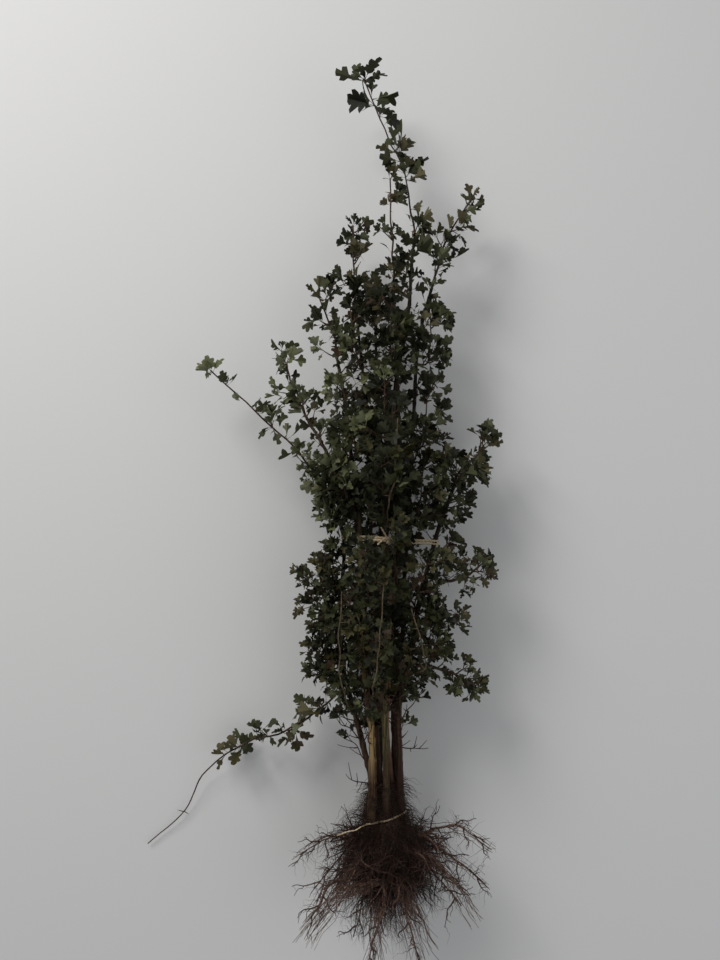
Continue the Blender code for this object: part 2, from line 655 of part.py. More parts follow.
bark = material("bark", (0.19, 0.12, 0.065), 0.8)
leaf_green = material("leaf", (0.055, 0.085, 0.03), 0.55)
root_bark = material("root", (0.11, 0.055, 0.035), 0.85)
twine = material("twine", (0.62, 0.46, 0.27), 0.7)

crown = root_crown(root_bark)
crown_faces = [tuple(f.vertices) for f in crown.data.polygons]
crown_wall = BVHTree.FromPolygons([v.co for v in crown.data.vertices], crown_faces)
crown_swollen = ([v.co + v.normal * GAP for v in crown.data.vertices], crown_faces)

stems = {name: stem_limb(name) for name in STEMS}
boughs = {name: bough_limb(name, stems) for name in BOUGHS}
roots = {name: root_limb(name, crown_wall) for name in ROOTS}
limbs = stems | boughs | roots
for name, limb in limbs.items():
    mesh_object(name, *tube_mesh(*limb), root_bark if name in roots else bark)

upper_tie = band("upper_tie", upper_tie_outline(stems.values()), TIE_WIDTH, twine)
lower_tie = band("lower_tie", lower_tie_outline(), TWINE, twine)

ties = [([v.co.copy() for v in o.data.vertices], [tuple(f.vertices) for f in o.data.polygons])
        for o in (upper_tie, lower_tie)]
swollen = [tube_mesh(*limb, GAP) for limb in limbs.values()]
obstacles = {"limbs": tree_of([*swollen, crown_swollen, *ties])}

# The stem of every mass is set first, then its twigs, then its leaves.
masses = []
for mass in MASSES:
    growth = start_mass(mass, foot_of(mass, limbs), LEAF_LIFT, obstacles)
    limbs[mass.name] = growth.limb
    masses.append((growth, leaf_green))
for mass in ROOT_MASSES:
    foot = foot_on_crown(mass.host, mass.foot, crown_wall)
    masses.append((start_mass(mass, foot, ROOT_DROOP, obstacles), root_bark))
for growth, _ in masses:
    growth.side_twigs()
    obstacles[growth.mass.name] = tree_of(growth.swollen)
for growth, finish in masses:
    if growth.mass.leaves:
        growth.dress()
        obstacles[growth.mass.name] = tree_of(growth.swollen)
    fuse(growth.mass.name, growth.twigs + growth.leaves, finish)

# The plant is moved as one, so that the middle of its box is over the origin.
plant = bpy.data.objects.new("hawthorn", None)
bpy.context.scene.collection.objects.link(plant)
corners = [v.co for o in bpy.data.objects if o.type == "MESH" for v in o.data.vertices]
low = Vector(min(c[i] for c in corners) for i in range(3))
high = Vector(max(c[i] for c in corners) for i in range(3))
plant.location = (-(low.x + high.x) / 2, -(low.y + high.y) / 2, -low.z)
for obj in list(bpy.data.objects):
    if obj.type == "MESH":
        obj.parent = plant
        if obj.name.startswith(("stem", "root", "bough", "fine")):
            obj.data.shade_smooth()
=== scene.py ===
"""A young hawthorn lifted with its roots bare, tied round with twine and laid down on a pale floor.

The sections follow the plant as it grew: the stems, the boughs, the twigs and leaves, the root crown, the
roots and the twine. Lengths are in metres. The plant's own coordinates have Y along the stems, counted from
the level that the roots spread at, and X and Z across it, counted from the middle of the root crown.
"""

import json
import math
import random
from collections import namedtuple

import bpy
from mathutils import Matrix, Vector, noise

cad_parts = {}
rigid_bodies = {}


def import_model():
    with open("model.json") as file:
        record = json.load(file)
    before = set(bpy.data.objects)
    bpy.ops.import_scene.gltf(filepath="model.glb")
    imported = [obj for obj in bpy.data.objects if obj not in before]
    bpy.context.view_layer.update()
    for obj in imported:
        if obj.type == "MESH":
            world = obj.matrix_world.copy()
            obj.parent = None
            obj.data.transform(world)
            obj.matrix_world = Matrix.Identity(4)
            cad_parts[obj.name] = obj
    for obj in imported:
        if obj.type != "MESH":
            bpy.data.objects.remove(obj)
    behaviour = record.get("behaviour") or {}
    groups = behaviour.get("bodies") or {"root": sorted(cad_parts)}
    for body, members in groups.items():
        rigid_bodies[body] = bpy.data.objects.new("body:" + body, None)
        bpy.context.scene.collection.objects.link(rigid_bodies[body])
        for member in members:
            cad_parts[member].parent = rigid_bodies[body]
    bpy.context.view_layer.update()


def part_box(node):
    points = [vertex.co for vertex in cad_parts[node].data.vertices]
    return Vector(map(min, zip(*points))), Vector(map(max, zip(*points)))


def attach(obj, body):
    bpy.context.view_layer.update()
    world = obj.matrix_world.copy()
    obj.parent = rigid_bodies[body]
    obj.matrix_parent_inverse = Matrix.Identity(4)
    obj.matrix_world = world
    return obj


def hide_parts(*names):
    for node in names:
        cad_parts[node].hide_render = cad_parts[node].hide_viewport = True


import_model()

# ---- Floor, light and camera -----------------------------------------
# The plant lies on a plain pale floor under soft light from its upper left, and is looked down on by a
# camera that stands almost square over it.
COLLAR = 0.150            # height of the collar, where the stems leave the root crown
crown_low, crown_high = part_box("root_crown")
ORIGIN = Vector(((crown_low.x + crown_high.x) / 2, crown_high.y - COLLAR, (crown_low.z + crown_high.z) / 2))
GROUND = -ORIGIN.z        # Z of the floor in the plant's own coordinates
FLOOR_HALF = 6.0          # half the floor's side
FLOOR_COLOUR, FLOOR_ROUGHNESS = (0.62, 0.62, 0.62, 1), 0.75
SKY_COLOUR, SKY_STRENGTH = (0.86, 0.87, 0.88, 1), 0.42
LIT = Vector((0, 0.1, 0))             # the middle of the crown, which the lamps point at
CAMERA_OVER = Vector((-0.0403, 0.542, 1.21))
CAMERA_TILT = math.radians(5.25)
CAMERA_LENS = 28.125      # for a sensor 36 mm high


def placed(name, data):
    """A new object, linked into the scene."""
    thing = bpy.data.objects.new(name, data)
    bpy.context.scene.collection.objects.link(thing)
    return thing


bpy.context.scene.view_settings.view_transform = "Standard"
world = bpy.data.worlds.new("studio")
world.use_nodes = True
world.node_tree.nodes["Background"].inputs["Color"].default_value = SKY_COLOUR
world.node_tree.nodes["Background"].inputs["Strength"].default_value = SKY_STRENGTH
bpy.context.scene.world = world

floor_material = bpy.data.materials.new("floor_paint")
floor_material.use_nodes = True
floor_shader = floor_material.node_tree.nodes["Principled BSDF"]
floor_shader.inputs["Base Color"].default_value = FLOOR_COLOUR
floor_shader.inputs["Roughness"].default_value = FLOOR_ROUGHNESS
floor_mesh = bpy.data.meshes.new("floor")
corners = [(x * FLOOR_HALF, y * FLOOR_HALF, 0) for x, y in ((-1, -1), (1, -1), (1, 1), (-1, 1))]
floor_mesh.from_pydata(corners, [], [(0, 1, 2, 3)])
floor_mesh.materials.append(floor_material)
placed("floor", floor_mesh)

# Each lamp: where it hangs, its side, its power and its colour.
LAMPS = {
    "key": ((-1.5, 1.9, 2.0), 1.4, 62, (1.0, 0.985, 0.955)),
    "fill": ((1.8, -0.4, 2.0), 2.0, 9, (0.96, 0.98, 1.0)),
}
for name, (place, side, power, colour) in LAMPS.items():
    lamp = placed(name, bpy.data.lights.new(name, "AREA"))
    lamp.data.size, lamp.data.energy, lamp.data.color = side, power, colour
    lamp.location = place
    lamp.rotation_euler = (LIT - Vector(place)).to_track_quat("-Z", "Y").to_euler()

camera = placed("camera", bpy.data.cameras.new("camera"))
camera.data.lens = CAMERA_LENS
camera.location = ORIGIN + CAMERA_OVER
camera.rotation_euler = (CAMERA_TILT, 0, 0)
bpy.context.scene.camera = camera

# ---- Stems -----------------------------------------------------------
# Eight stems of living wood, 9 to 14 mm through at the collar, under a thin bark that is furrowed
# lengthwise and swollen at each bud. All spring from one root crown; no two are of one colour.
STEM_SIDES = 22
STEM_STEP = 0.0032        # from one ring of a stem to the next
STEM_RISE = 0.030         # how far a stem goes straight up from its foot
STEM_CROOK = 0.0035, 0.11              # how far it wanders off its path, and over what length
STEM_TAPER = 0.8          # under 1, it thins faster near its foot
SUNK, SUNK_RINGS = 0.036, 8            # how far it runs on down inside the root crown
NODE_SPACING = 0.031      # from bud to bud
NODE_SWELL, NODE_SHARP = 0.14, 16      # how far it swells at a bud, as a share of its radius, how abruptly
FLARE, FLARE_HEIGHT = 0.20, 0.030      # how far its foot swells, as a share of its radius, and how far up

# Each stem: its foot on the collar (X, Z), the points that it passes, its radius at the foot and tip.
STEMS = {
    "stem_1": ((-0.024, -0.012), [(-0.05, 0.285, -0.016), (-0.074, 0.4, -0.01), (-0.066, 0.557, -0.01),
        (-0.104, 0.645, -0.004)], 0.0056, 0.0026),
    "stem_2": ((-0.021, 0.01), [(-0.026, 0.29, 0.012), (-0.04, 0.42, 0.022), (-0.04, 0.557, 0.016),
        (-0.056, 0.72, 0.014), (-0.08, 0.865, 0.006)], 0.0072, 0.0022),
    "stem_3": ((-0.01, -0.005), [(-0.02, 0.29, -0.008), (-0.034, 0.42, -0.014), (-0.024, 0.557, -0.008),
        (-0.028, 0.74, -0.006), (-0.046, 0.93, -0.006)], 0.0046, 0.0022),
    "stem_4": ((-0.007, -0.021), [(-0.01, 0.29, -0.026), (-0.014, 0.42, -0.044), (-0.006, 0.557, -0.028),
        (-0.008, 0.74, -0.03), (-0.014, 0.9, -0.034)], 0.0048, 0.0022),
    "stem_5": ((0.001, 0.013), [(-0.002, 0.29, 0.02), (0.002, 0.42, 0.036), (0.0, 0.557, 0.022),
        (0.014, 0.76, 0.02), (0.038, 0.93, 0.01), (0.047, 1.03, 0.004)], 0.0058, 0.0026),
    "stem_6": ((0.008, -0.003), [(0.003, 0.29, 0.001), (0.01, 0.42, -0.002), (0.02, 0.557, -0.002),
        (0.022, 0.76, -0.006), (0.016, 0.96, 0.004)], 0.005, 0.0022),
    "stem_7": ((0.016, -0.018), [(0.014, 0.29, -0.018), (0.03, 0.42, -0.032), (0.036, 0.557, -0.022),
        (0.046, 0.74, -0.018), (0.06, 0.897, -0.006), (0.082, 0.985, 0.0)], 0.005, 0.0024),
    "stem_8": ((0.023, 0.002), [(0.021, 0.3, 0.006), (0.046, 0.42, 0.008), (0.082, 0.557, 0.002),
        (0.112, 0.645, 0.004)], 0.0056, 0.0028),
}
# The bark of each stem: its colour in the furrows and on the ridges.
STEM_COLOURS = {
    "stem_1": ((0.014, 0.008, 0.005), (0.085, 0.05, 0.03)),
    "stem_2": ((0.05, 0.03, 0.012), (0.4, 0.275, 0.125)),
    "stem_3": ((0.026, 0.011, 0.006), (0.15, 0.07, 0.034)),
    "stem_4": ((0.012, 0.01, 0.006), (0.07, 0.056, 0.034)),
    "stem_5": ((0.016, 0.014, 0.006), (0.14, 0.112, 0.05)),
    "stem_6": ((0.046, 0.022, 0.011), (0.29, 0.155, 0.08)),
    "stem_7": ((0.013, 0.006, 0.004), (0.075, 0.03, 0.02)),
    "stem_8": ((0.012, 0.007, 0.004), (0.07, 0.036, 0.02)),
}
Limb = namedtuple("Limb", "points radii")


def curve_through(controls, count):
    """count points on a smooth curve through the controls."""
    c = [Vector(p) for p in controls]
    c = [c[0] * 2 - c[1], *c, c[-1] * 2 - c[-2]]
    points = []
    for k in range(count):
        s = k / (count - 1) * (len(c) - 3)
        i = min(int(s), len(c) - 4)
        t = s - i
        a, b, d, e = c[i : i + 4]
        points.append(0.5 * (2 * b + (d - a) * t + (2 * a - 5 * b + 4 * d - e) * t**2
                             + (3 * b - a - 3 * d + e) * t**3))
    return points


def length_of(points):
    return sum((q - p).length for p, q in zip(points, points[1:]))


def heading(points, i):
    return (points[min(i + 1, len(points) - 1)] - points[max(i - 1, 0)]).normalized()


def bent(points, amount, wave, seed):
    """The same path with the small crooks of growing wood; its two ends stay."""
    last, loudest = len(points) - 1, 1.6       # noise seldom passes 1 / 1.6
    crooked = []
    for i, p in enumerate(points):
        drift = Vector([noise.noise(p / wave + Vector((seed, 7.3 * k, -3.1 * k))) for k in range(3)])
        crooked.append(p + drift * loudest * amount * math.sin(math.pi * i / last))
    return crooked


def stem_limb(name, seed):
    """A stem from inside the root crown to its tip, swollen at its foot and at its buds."""
    (x, z), rest, r_foot, r_tip = STEMS[name]
    foot = Vector((x, COLLAR, z))
    controls = [foot, foot + Vector((0, STEM_RISE, 0)), *rest]
    count = round(length_of([Vector(p) for p in controls]) / STEM_STEP)
    points = bent(curve_through(controls, count), *STEM_CROOK, seed)
    radii = [r_foot + (r_tip - r_foot) * (k / (count - 1)) ** STEM_TAPER for k in range(count)]
    below = [foot - Vector((0, SUNK * (1 - k / SUNK_RINGS), 0)) for k in range(SUNK_RINGS)]
    points, radii = below + points, [r_foot] * len(below) + radii
    swollen = []
    for p, r in zip(points, radii):
        node = math.sin(math.pi * p.y / NODE_SPACING + seed) ** NODE_SHARP
        flare = math.exp(-max(0.0, p.y - COLLAR) / FLARE_HEIGHT)
        swollen.append(r * (1 + NODE_SWELL * node + FLARE * flare))
    return Limb(points, swollen)


class Wire:
    """What comes out of a node. Arithmetic on it adds Math nodes to the same net."""

    def __init__(self, net, socket):
        self.net, self.socket = net, socket

    def maths(self, operation, first, second):
        return self.net.add("ShaderNodeMath", {0: first, 1: second}, operation=operation)

    def __add__(self, other):
        return self.maths("ADD", self, other)

    __radd__ = __add__

    def __sub__(self, other):
        return self.maths("SUBTRACT", self, other)

    def __rsub__(self, other):
        return self.maths("SUBTRACT", other, self)

    def __mul__(self, other):
        return self.maths("MULTIPLY", self, other)


class Net:
    """A node tree being made; every node in it comes from add()."""

    def __init__(self, tree):
        self.tree = tree

    def add(self, kind, sockets=None, output=0, **settings):
        """A new node's output. A socket goes by its number where two on the node share a name."""
        node = self.tree.nodes.new(kind)
        for key, value in settings.items():
            setattr(node, key, value)
        for key, value in (sockets or {}).items():
            if isinstance(value, Wire):
                self.tree.links.new(value.socket, node.inputs[key])
            else:
                node.inputs[key].default_value = value
        return Wire(self, node.outputs[output])


class Finish(Net):
    """A material: fixed values go on the shader's own sockets, what varies is wired to them."""

    def __init__(self, name, colour=(0.5, 0.5, 0.5), roughness=0.6, specular=0.5):
        self.material = bpy.data.materials.new(name)
        self.material.use_nodes = True
        super().__init__(self.material.node_tree)
        self.shader = self.tree.nodes["Principled BSDF"]
        self.shader.inputs["Base Color"].default_value = (*colour, 1)
        self.shader.inputs["Roughness"].default_value = roughness
        self.shader.inputs["Specular IOR Level"].default_value = specular

    def wire(self, socket, source):
        self.tree.links.new(source.socket, self.shader.inputs[socket])

    def grain(self, scale, stretch=(1, 1, 1), detail=3.0):
        """Noise over the piece, from 0 to 1, drawn out along the axes with a small stretch."""
        place = self.add("ShaderNodeTexCoord", output="Object")
        place = self.add("ShaderNodeMapping", {"Vector": place, "Scale": stretch})
        return self.add("ShaderNodeTexNoise", {"Vector": place, "Scale": scale, "Detail": detail})

    def contrast(self, grain, low, high):
        """The same noise with its values from low to high spread over 0 to 1."""
        return self.add("ShaderNodeMapRange", {"Value": grain, "From Min": low, "From Max": high})

    def mixed(self, first, second, share):
        """One colour laid over another by a share from 0 to 1."""
        colours = {6: first if isinstance(first, Wire) else (*first, 1),
                   7: second if isinstance(second, Wire) else (*second, 1)}
        return self.add("ShaderNodeMix", {0: share, **colours}, output=2, data_type="RGBA")

    def bump(self, height, distance):
        raised = self.add("ShaderNodeBump", {"Strength": 1.0, "Distance": distance, "Height": height})
        self.wire("Normal", raised)


YOUNG_WOOD_AND_SHADE = (0.016, 0.011, 0.008)   # the bark of the last two years' growth, made darker still as painted shade inside the crown
YOUNG_AND_SHADE_FROM, YOUNG_AND_SHADE_FULL = 0.30, 0.62  # heights between which the old bark gives way to it and to the crown's painted shade
SOIL = (0.026, 0.011, 0.007)         # the stain that the soil leaves on the stems' feet
SOIL_TO, SOIL_GONE = 0.160, 0.240    # heights that it is full up to and is gone from
STREAKS, BLOTCHES, PORES = 340, 34, 520               # how fine each marking of the bark is


def bark(name, furrow, ridge, stretch=(1, 0.05, 1), aged_and_shaded=False):
    """Bark: furrowed along the stem, blotched, dotted with pale pores, and a little glossy on its ridges."""
    made = Finish(name, specular=0.16)
    streaks = made.contrast(made.grain(STREAKS, stretch), 0.42, 0.57)
    blotches = made.contrast(made.grain(BLOTCHES, (1, 0.45, 1)), 0.40, 0.62)
    pores = made.contrast(made.grain(PORES, (0.35, 1, 0.35), 0.0), 0.70, 0.76)
    pore_colour = tuple(0.15 + 0.7 * c for c in ridge)
    colour = made.mixed(furrow, ridge, streaks * 0.65 + blotches * 0.35)
    colour = made.mixed(colour, pore_colour, pores * 0.30)
    if aged_and_shaded:
        # Up the stem the bark darkens to young wood. This is partly real young bark and partly painted shade
        # of the crown's inside; the foot takes a soil stain.
        place = made.add("ShaderNodeTexCoord", output="Object")
        height = made.add("ShaderNodeSeparateXYZ", {"Vector": place}, output="Y")
        youth_and_shade = made.contrast(height, ORIGIN.y + YOUNG_AND_SHADE_FROM, ORIGIN.y + YOUNG_AND_SHADE_FULL)
        colour = made.mixed(colour, YOUNG_WOOD_AND_SHADE, youth_and_shade * 0.92)
        soil = made.contrast(height - blotches * 0.030, ORIGIN.y + SOIL_GONE, ORIGIN.y + SOIL_TO)
        colour = made.mixed(colour, SOIL, soil * 0.90)
    made.wire("Base Color", colour)
    made.wire("Roughness", 0.72 - streaks * 0.22)
    made.bump(streaks * 0.7 + blotches * 0.3 + pores * 0.4, 0.0012)
    return made.material


class Pattern(Net):
    """A Geometry Nodes tree with named inputs; what it makes never goes through the floor."""

    RESTING = 0.0004      # how far over the floor the lowest of it stays

    def __init__(self, name, **inputs):
        super().__init__(bpy.data.node_groups.new(name, "GeometryNodeTree"))
        for way in ("INPUT", "OUTPUT"):
            self.tree.interface.new_socket("Geometry", in_out=way, socket_type="NodeSocketGeometry")
        for label, kind in inputs.items():
            self.tree.interface.new_socket(label, in_out="INPUT", socket_type="NodeSocket" + kind)
        self.way_in = self.tree.nodes.new("NodeGroupInput")
        self.way_out = self.tree.nodes.new("NodeGroupOutput")

    def given(self, label):
        return Wire(self, self.way_in.outputs[label])

    def attribute(self, name, kind="FLOAT"):
        return self.add("GeometryNodeInputNamedAttribute", {"Name": name}, data_type=kind)

    def place(self):
        return self.add("GeometryNodeInputPosition")

    def vector(self, operation, *sockets):
        return self.add("ShaderNodeVectorMath", dict(enumerate(sockets)), operation=operation)

    def scaled(self, vector, by):
        return self.add("ShaderNodeVectorMath", {0: vector, "Scale": by}, operation="SCALE")

    def end(self, shape):
        self.tree.links.new(shape.socket, self.way_out.inputs["Geometry"])

    def close(self, shape, smooth=True):
        """Realizes the shape, presses it up to the floor where it would pass through, and paints it."""
        shape = self.add("GeometryNodeRealizeInstances", {"Geometry": shape})
        resting = self.vector("MAXIMUM", self.place(), (-9, -9, self.RESTING))
        shape = self.add("GeometryNodeSetPosition", {"Geometry": shape, "Position": resting})
        shape = self.add("GeometryNodeSetShadeSmooth", {"Geometry": shape, "Shade Smooth": smooth})
        shape = self.add("GeometryNodeSetMaterial", {"Geometry": shape, "Material": self.given("Material")})
        self.end(shape)
        return shape


def made_by(pattern, name, start, **sizes):
    """The plain mesh object that a tree makes of a starting mesh; the modifier doesn't stay."""
    piece = placed(name, start)
    worker = piece.modifiers.new(pattern.tree.name, "NODES")
    worker.node_group = pattern.tree
    for item in pattern.tree.interface.items_tree:
        if item.in_out == "INPUT" and item.name in sizes:
            worker[item.identifier] = sizes[item.name]
    grown = bpy.data.meshes.new_from_object(piece.evaluated_get(bpy.context.evaluated_depsgraph_get()))
    piece.modifiers.clear()
    piece.data = grown
    return piece


def centre_lines(name, limbs):
    """A mesh of the limbs' centre lines only, each point with the limb's thickness there."""
    points, edges, thickness = [], [], []
    for limb in limbs:
        first = len(points)
        points += [ORIGIN + p for p in limb.points]
        thickness += limb.radii
        edges += [(first + i, first + i + 1) for i in range(len(limb.points) - 1)]
    mesh = bpy.data.meshes.new(name)
    mesh.from_pydata(points, edges, [])
    mesh.attributes.new("thickness", "FLOAT", "POINT").data.foreach_set("value", thickness)
    return mesh


wood = Pattern("wood_round_a_line", Sides="Int", Relief="Float", Furrows="Float", Lengthwise="Vector",
               Material="Material")
line = wood.add("GeometryNodeMeshToCurve", {"Mesh": wood.given("Geometry")})
ring = wood.add("GeometryNodeCurvePrimitiveCircle", {"Resolution": wood.given("Sides"), "Radius": 1.0})
skin = wood.add("GeometryNodeCurveToMesh", {"Curve": line, "Profile Curve": ring, "Fill Caps": True,
                                            "Scale": wood.attribute("thickness")})
drawn_out = wood.vector("MULTIPLY", wood.place(), wood.given("Lengthwise"))
furrows = wood.add("ShaderNodeTexNoise", {"Vector": drawn_out, "Scale": wood.given("Furrows"), "Detail": 2.0})
height = (furrows - 0.5) * wood.given("Relief") * wood.attribute("thickness")
lift = wood.scaled(wood.add("GeometryNodeInputNormal"), height)
wood.close(wood.add("GeometryNodeSetPosition", {"Geometry": skin, "Offset": lift}))


def wooden(name, limbs, material, sides, relief, furrows=300.0, lengthwise=1.0):
    """A piece of round limbs, furrowed as deep as relief. A small lengthwise draws the furrows out in Y."""
    return made_by(wood, name, centre_lines(name, limbs), Sides=sides, Relief=relief, Furrows=furrows,
                   Lengthwise=(1, lengthwise, 1), Material=material)


def fitted(piece, slot, *nodes):
    """Puts a finished piece on the plant, in place of its nodes."""
    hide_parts(*nodes)
    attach(piece, "root")
    return piece


stems = {}
for number, name in enumerate(STEMS):
    stems[name] = stem_limb(name, seed=1.7 * number)
    stem_bark = bark(name + "_bark", *STEM_COLOURS[name], aged_and_shaded=True)
    piece = wooden(name + "_bark", [stems[name]], stem_bark, sides=STEM_SIDES, relief=0.75, furrows=330.0,
                   lengthwise=0.12)
    fitted(piece, "bark", name)

# ---- Boughs ----------------------------------------------------------
# Three side boughs, 6 mm through: one forks from the second stem to the left and two from the last stem to
# the right. Their bark is that of young wood.
BOUGHS = {  # the stem and the height that it leaves it at, the points that it passes, radius at foot and tip
    "bough_left": ("stem_2", 0.59, [(-0.092, 0.69, 0.032), (-0.128, 0.755, 0.028)], 0.003, 0.0022),
    "bough_right_mid": ("stem_8", 0.5, [(0.098, 0.492, 0.016), (0.122, 0.497, 0.018)], 0.0028, 0.0022),
    "bough_right_low": ("stem_8", 0.345, [(0.058, 0.362, 0.016), (0.096, 0.35, 0.012)], 0.0028, 0.0022),
}
BOUGH_SIDES, BOUGH_POINTS = 14, 40
BOUGH_CROOK = 0.002, 0.03


def at_height(limb, y):
    """The point, the heading and the radius of a limb at a height."""
    i = next(k for k in range(len(limb.points) - 1) if limb.points[k + 1].y >= y)
    return limb.points[i], heading(limb.points, i), limb.radii[i]


def tapered(points, r_foot, r_tip):
    return Limb(points, [r_foot + (r_tip - r_foot) * k / (len(points) - 1) for k in range(len(points))])


young_bark = bark("young_bark", (0.022, 0.014, 0.009), (0.080, 0.052, 0.032), (1, 0.5, 1))
boughs = {}
for name, (host, height, path, r_foot, r_tip) in BOUGHS.items():
    start, _, _ = at_height(stems[host], height)
    points = bent(curve_through([start, *path], BOUGH_POINTS), *BOUGH_CROOK, len(name))
    boughs[name] = tapered(points, r_foot, r_tip)
    piece = wooden(name + "_bark", [boughs[name]], young_bark, sides=BOUGH_SIDES, relief=0.5, furrows=260.0,
                   lengthwise=0.5)
    fitted(piece, "bark", name)

# ---- Twigs -----------------------------------------------------------
# Every mass of foliage is one branching shoot: a stem of its own that grows on from its limb, side twigs
# by the golden angle, and finer twigs on those. Slim shoots carry thorns, the leaves sit on short spurs.
GOLDEN = math.radians(137.5)
WOBBLE = -0.4, 0.4                    # how far a twig may turn from the golden angle, in radians
LIFT = Vector((0, 0.22, 0.02))        # how a twig bends as it grows
SHOOT_R, SHOOT_TIP_R = 0.0021, 0.0009  # of the stem of a mass
LONG_TIP_R = 0.0012                   # the same at its tip, if it carries on from a limb's own tip
TWIG_R, TWIG_TIP_R = 0.0014, 0.0006
FINE_R, FINE_TIP_R = TWIG_R * 0.7, TWIG_TIP_R * 0.8
THORN_RADII = [0.0009, 0.0006, 0.0001]
SHOOT_CROOK, TWIG_CROOK = (0.0030, 0.035), (0.0015, 0.012)
SHOOT_STEP = 0.009                    # from one ring of a shoot's stem to the next
TWIG_RINGS, FINE_RINGS, SHORT_RINGS, LONE_RINGS = 7, 5, 6, 12      # how many rings each twig is made of
SLIM, SPARSE = 0.027, 0.5             # a shoot is slim if its spread or its fullness is no more than this
# How far each kind of growth leans away from what bears it, in degrees.
SIDE_LEAN, FINE_LEAN, SHORT_LEAN, SPUR_LEAN, THORN_LEAN = (48, 68), (40, 65), (40, 75), (35, 70), (60, 85)
# From spur to spur: on the stem and the twigs of a bushy shoot, then of a slim one. From thorn to thorn.
STEM_SPURS, TWIG_SPURS, SLIM_STEM_SPURS, SLIM_TWIG_SPURS = 0.018, 0.011, 0.013, 0.020
THORN_GAP = 0.035
SPUR_LEAVES, MORE_AT_TIP = (2, 3, 3, 4), 2
Mass = namedtuple("Mass", "name host foot path spread twigs fullness leafy", defaults=[(0.2, 0.99)])
Spur = namedtuple("Spur", "place axis size leaves")   # where a rosette stands, its blades' size and how many
# Each mass: the limb that it grows from, the height of its foot on that limb (or None for the limb's tip),
# the points that its own stem passes, how far its twigs spread, how many it has, how thickly they are set
# with finer twigs and leaves, and the share of its stem that carries them.
MASSES = [
    Mass("leaves_low_left", "stem_1", 0.335, [(-0.1, 0.42, 0.006)], 0.048, 5, 1.7, (0.08, 0.99)),
    Mass("leaves_low_front", "stem_2", 0.33, [(-0.022, 0.41, 0.092)], 0.052, 5, 1.05, (0.32, 0.99)),
    Mass("leaves_low_right", "stem_8", 0.372, [(0.078, 0.425, 0.028)], 0.046, 5, 0.9),
    Mass("leaves_low_back", "stem_4", 0.34, [(-0.01, 0.415, -0.09)], 0.054, 5, 1.0),
    Mass("leaves_mid_left", "stem_1", 0.43, [(-0.108, 0.515, 0.006)], 0.05, 5, 1.7),
    Mass("leaves_mid_front", "stem_2", 0.43, [(-0.022, 0.525, 0.106)], 0.056, 6, 1.15),
    Mass("leaves_mid_right", "stem_7", 0.43, [(0.066, 0.525, 0.054)], 0.048, 5, 0.9),
    Mass("leaves_mid_back", "stem_4", 0.44, [(0.004, 0.525, -0.092)], 0.056, 6, 1.2),
    Mass("leaves_waist_left", "stem_1", 0.59, [(-0.082, 0.668, 0.03)], 0.034, 5, 1.5),
    Mass("leaves_waist_front", "stem_5", 0.585, [(-0.008, 0.672, 0.084)], 0.046, 5, 1.15),
    Mass("leaves_waist_right", "stem_7", 0.59, [(0.062, 0.675, 0.018)], 0.042, 5, 1.0),
    Mass("leaves_waist_back", "stem_4", 0.59, [(0.004, 0.672, -0.08)], 0.048, 5, 1.2),
    Mass("leaves_upper_left", "stem_2", 0.69, [(-0.068, 0.8, 0.028)], 0.031, 5, 0.85),
    Mass("leaves_upper_front", "stem_5", 0.7, [(-0.002, 0.805, 0.066)], 0.044, 5, 0.62),
    Mass("leaves_upper_right", "stem_7", 0.705, [(0.07, 0.805, 0.004)], 0.04, 5, 0.52),
    Mass("leaves_upper_back", "stem_4", 0.705, [(-0.006, 0.8, -0.068)], 0.044, 5, 0.6),
    Mass("leaves_high_left", "stem_3", 0.84, [(-0.056, 0.935, 0.018)], 0.034, 4, 0.75),
    Mass("leaves_high_front", "stem_5", 0.835, [(0.01, 0.93, 0.05)], 0.038, 5, 0.65),
    Mass("leaves_high_right", "stem_7", 0.85, [(0.076, 0.925, 0.004)], 0.03, 4, 0.52),
    Mass("leaves_high_back", "stem_4", None, [(-0.008, 0.985, -0.042)], 0.038, 5, 0.7),
    Mass("leaves_tip_left", "stem_2", None, [(-0.11, 0.962, 0.002)], 0.026, 4, 0.6),
    Mass("leaves_tip_mid_left", "stem_3", None, [(-0.052, 1.082, -0.004)], 0.034, 5, 0.6),
    Mass("leaves_tip_centre", "stem_6", None, [(0.01, 1.16, 0.006)], 0.03, 4, 0.5),
    Mass("leaves_tip_right", "stem_7", None, [(0.106, 1.06, 0.0), (0.148, 1.13, 0.0)], 0.026, 5, 0.6),
    Mass("leaves_leader_low", "stem_5", None, [(0.036, 1.165, 0.002)], 0.026, 1, 0.1),
    Mass("leaves_leader_top", "leaves_leader_low", None, [(0.01, 1.225, 0.002), (-0.034, 1.34, 0.0)],
        0.02, 1, 0.1),
    Mass("leaves_left_long", "stem_1", None, [(-0.158, 0.716, 0.0), (-0.286, 0.834, 0.0)], 0.024, 2, 0.1),
    Mass("leaves_left_second", "bough_left", None, [(-0.168, 0.862, 0.02)], 0.026, 4, 1.0, (0.02, 0.99)),
    Mass("leaves_right_bough", "stem_8", None, [(0.164, 0.706, 0.006)], 0.044, 6, 0.65, (0.02, 0.99)),
    Mass("leaves_right_mid", "bough_right_mid", None, [(0.152, 0.518, 0.014)], 0.038, 5, 0.6),
    Mass("leaves_right_low", "bough_right_low", None, [(0.142, 0.328, 0.006)], 0.036, 5, 0.6),
    Mass("leaves_right_inner", "stem_8", 0.425, [(0.112, 0.44, 0.014)], 0.036, 4, 0.7),
    Mass("leaves_low_shoot", "stem_1", 0.318, [(-0.094, 0.296, -0.022), (-0.152, 0.252, -0.036),
        (-0.235, 0.222, -0.056), (-0.306, 0.165, -0.084), (-0.332, 0.107, -0.094), (-0.396, 0.05, -0.098)],
        0.018, 5, 0.75, (0.26, 0.62)),
]
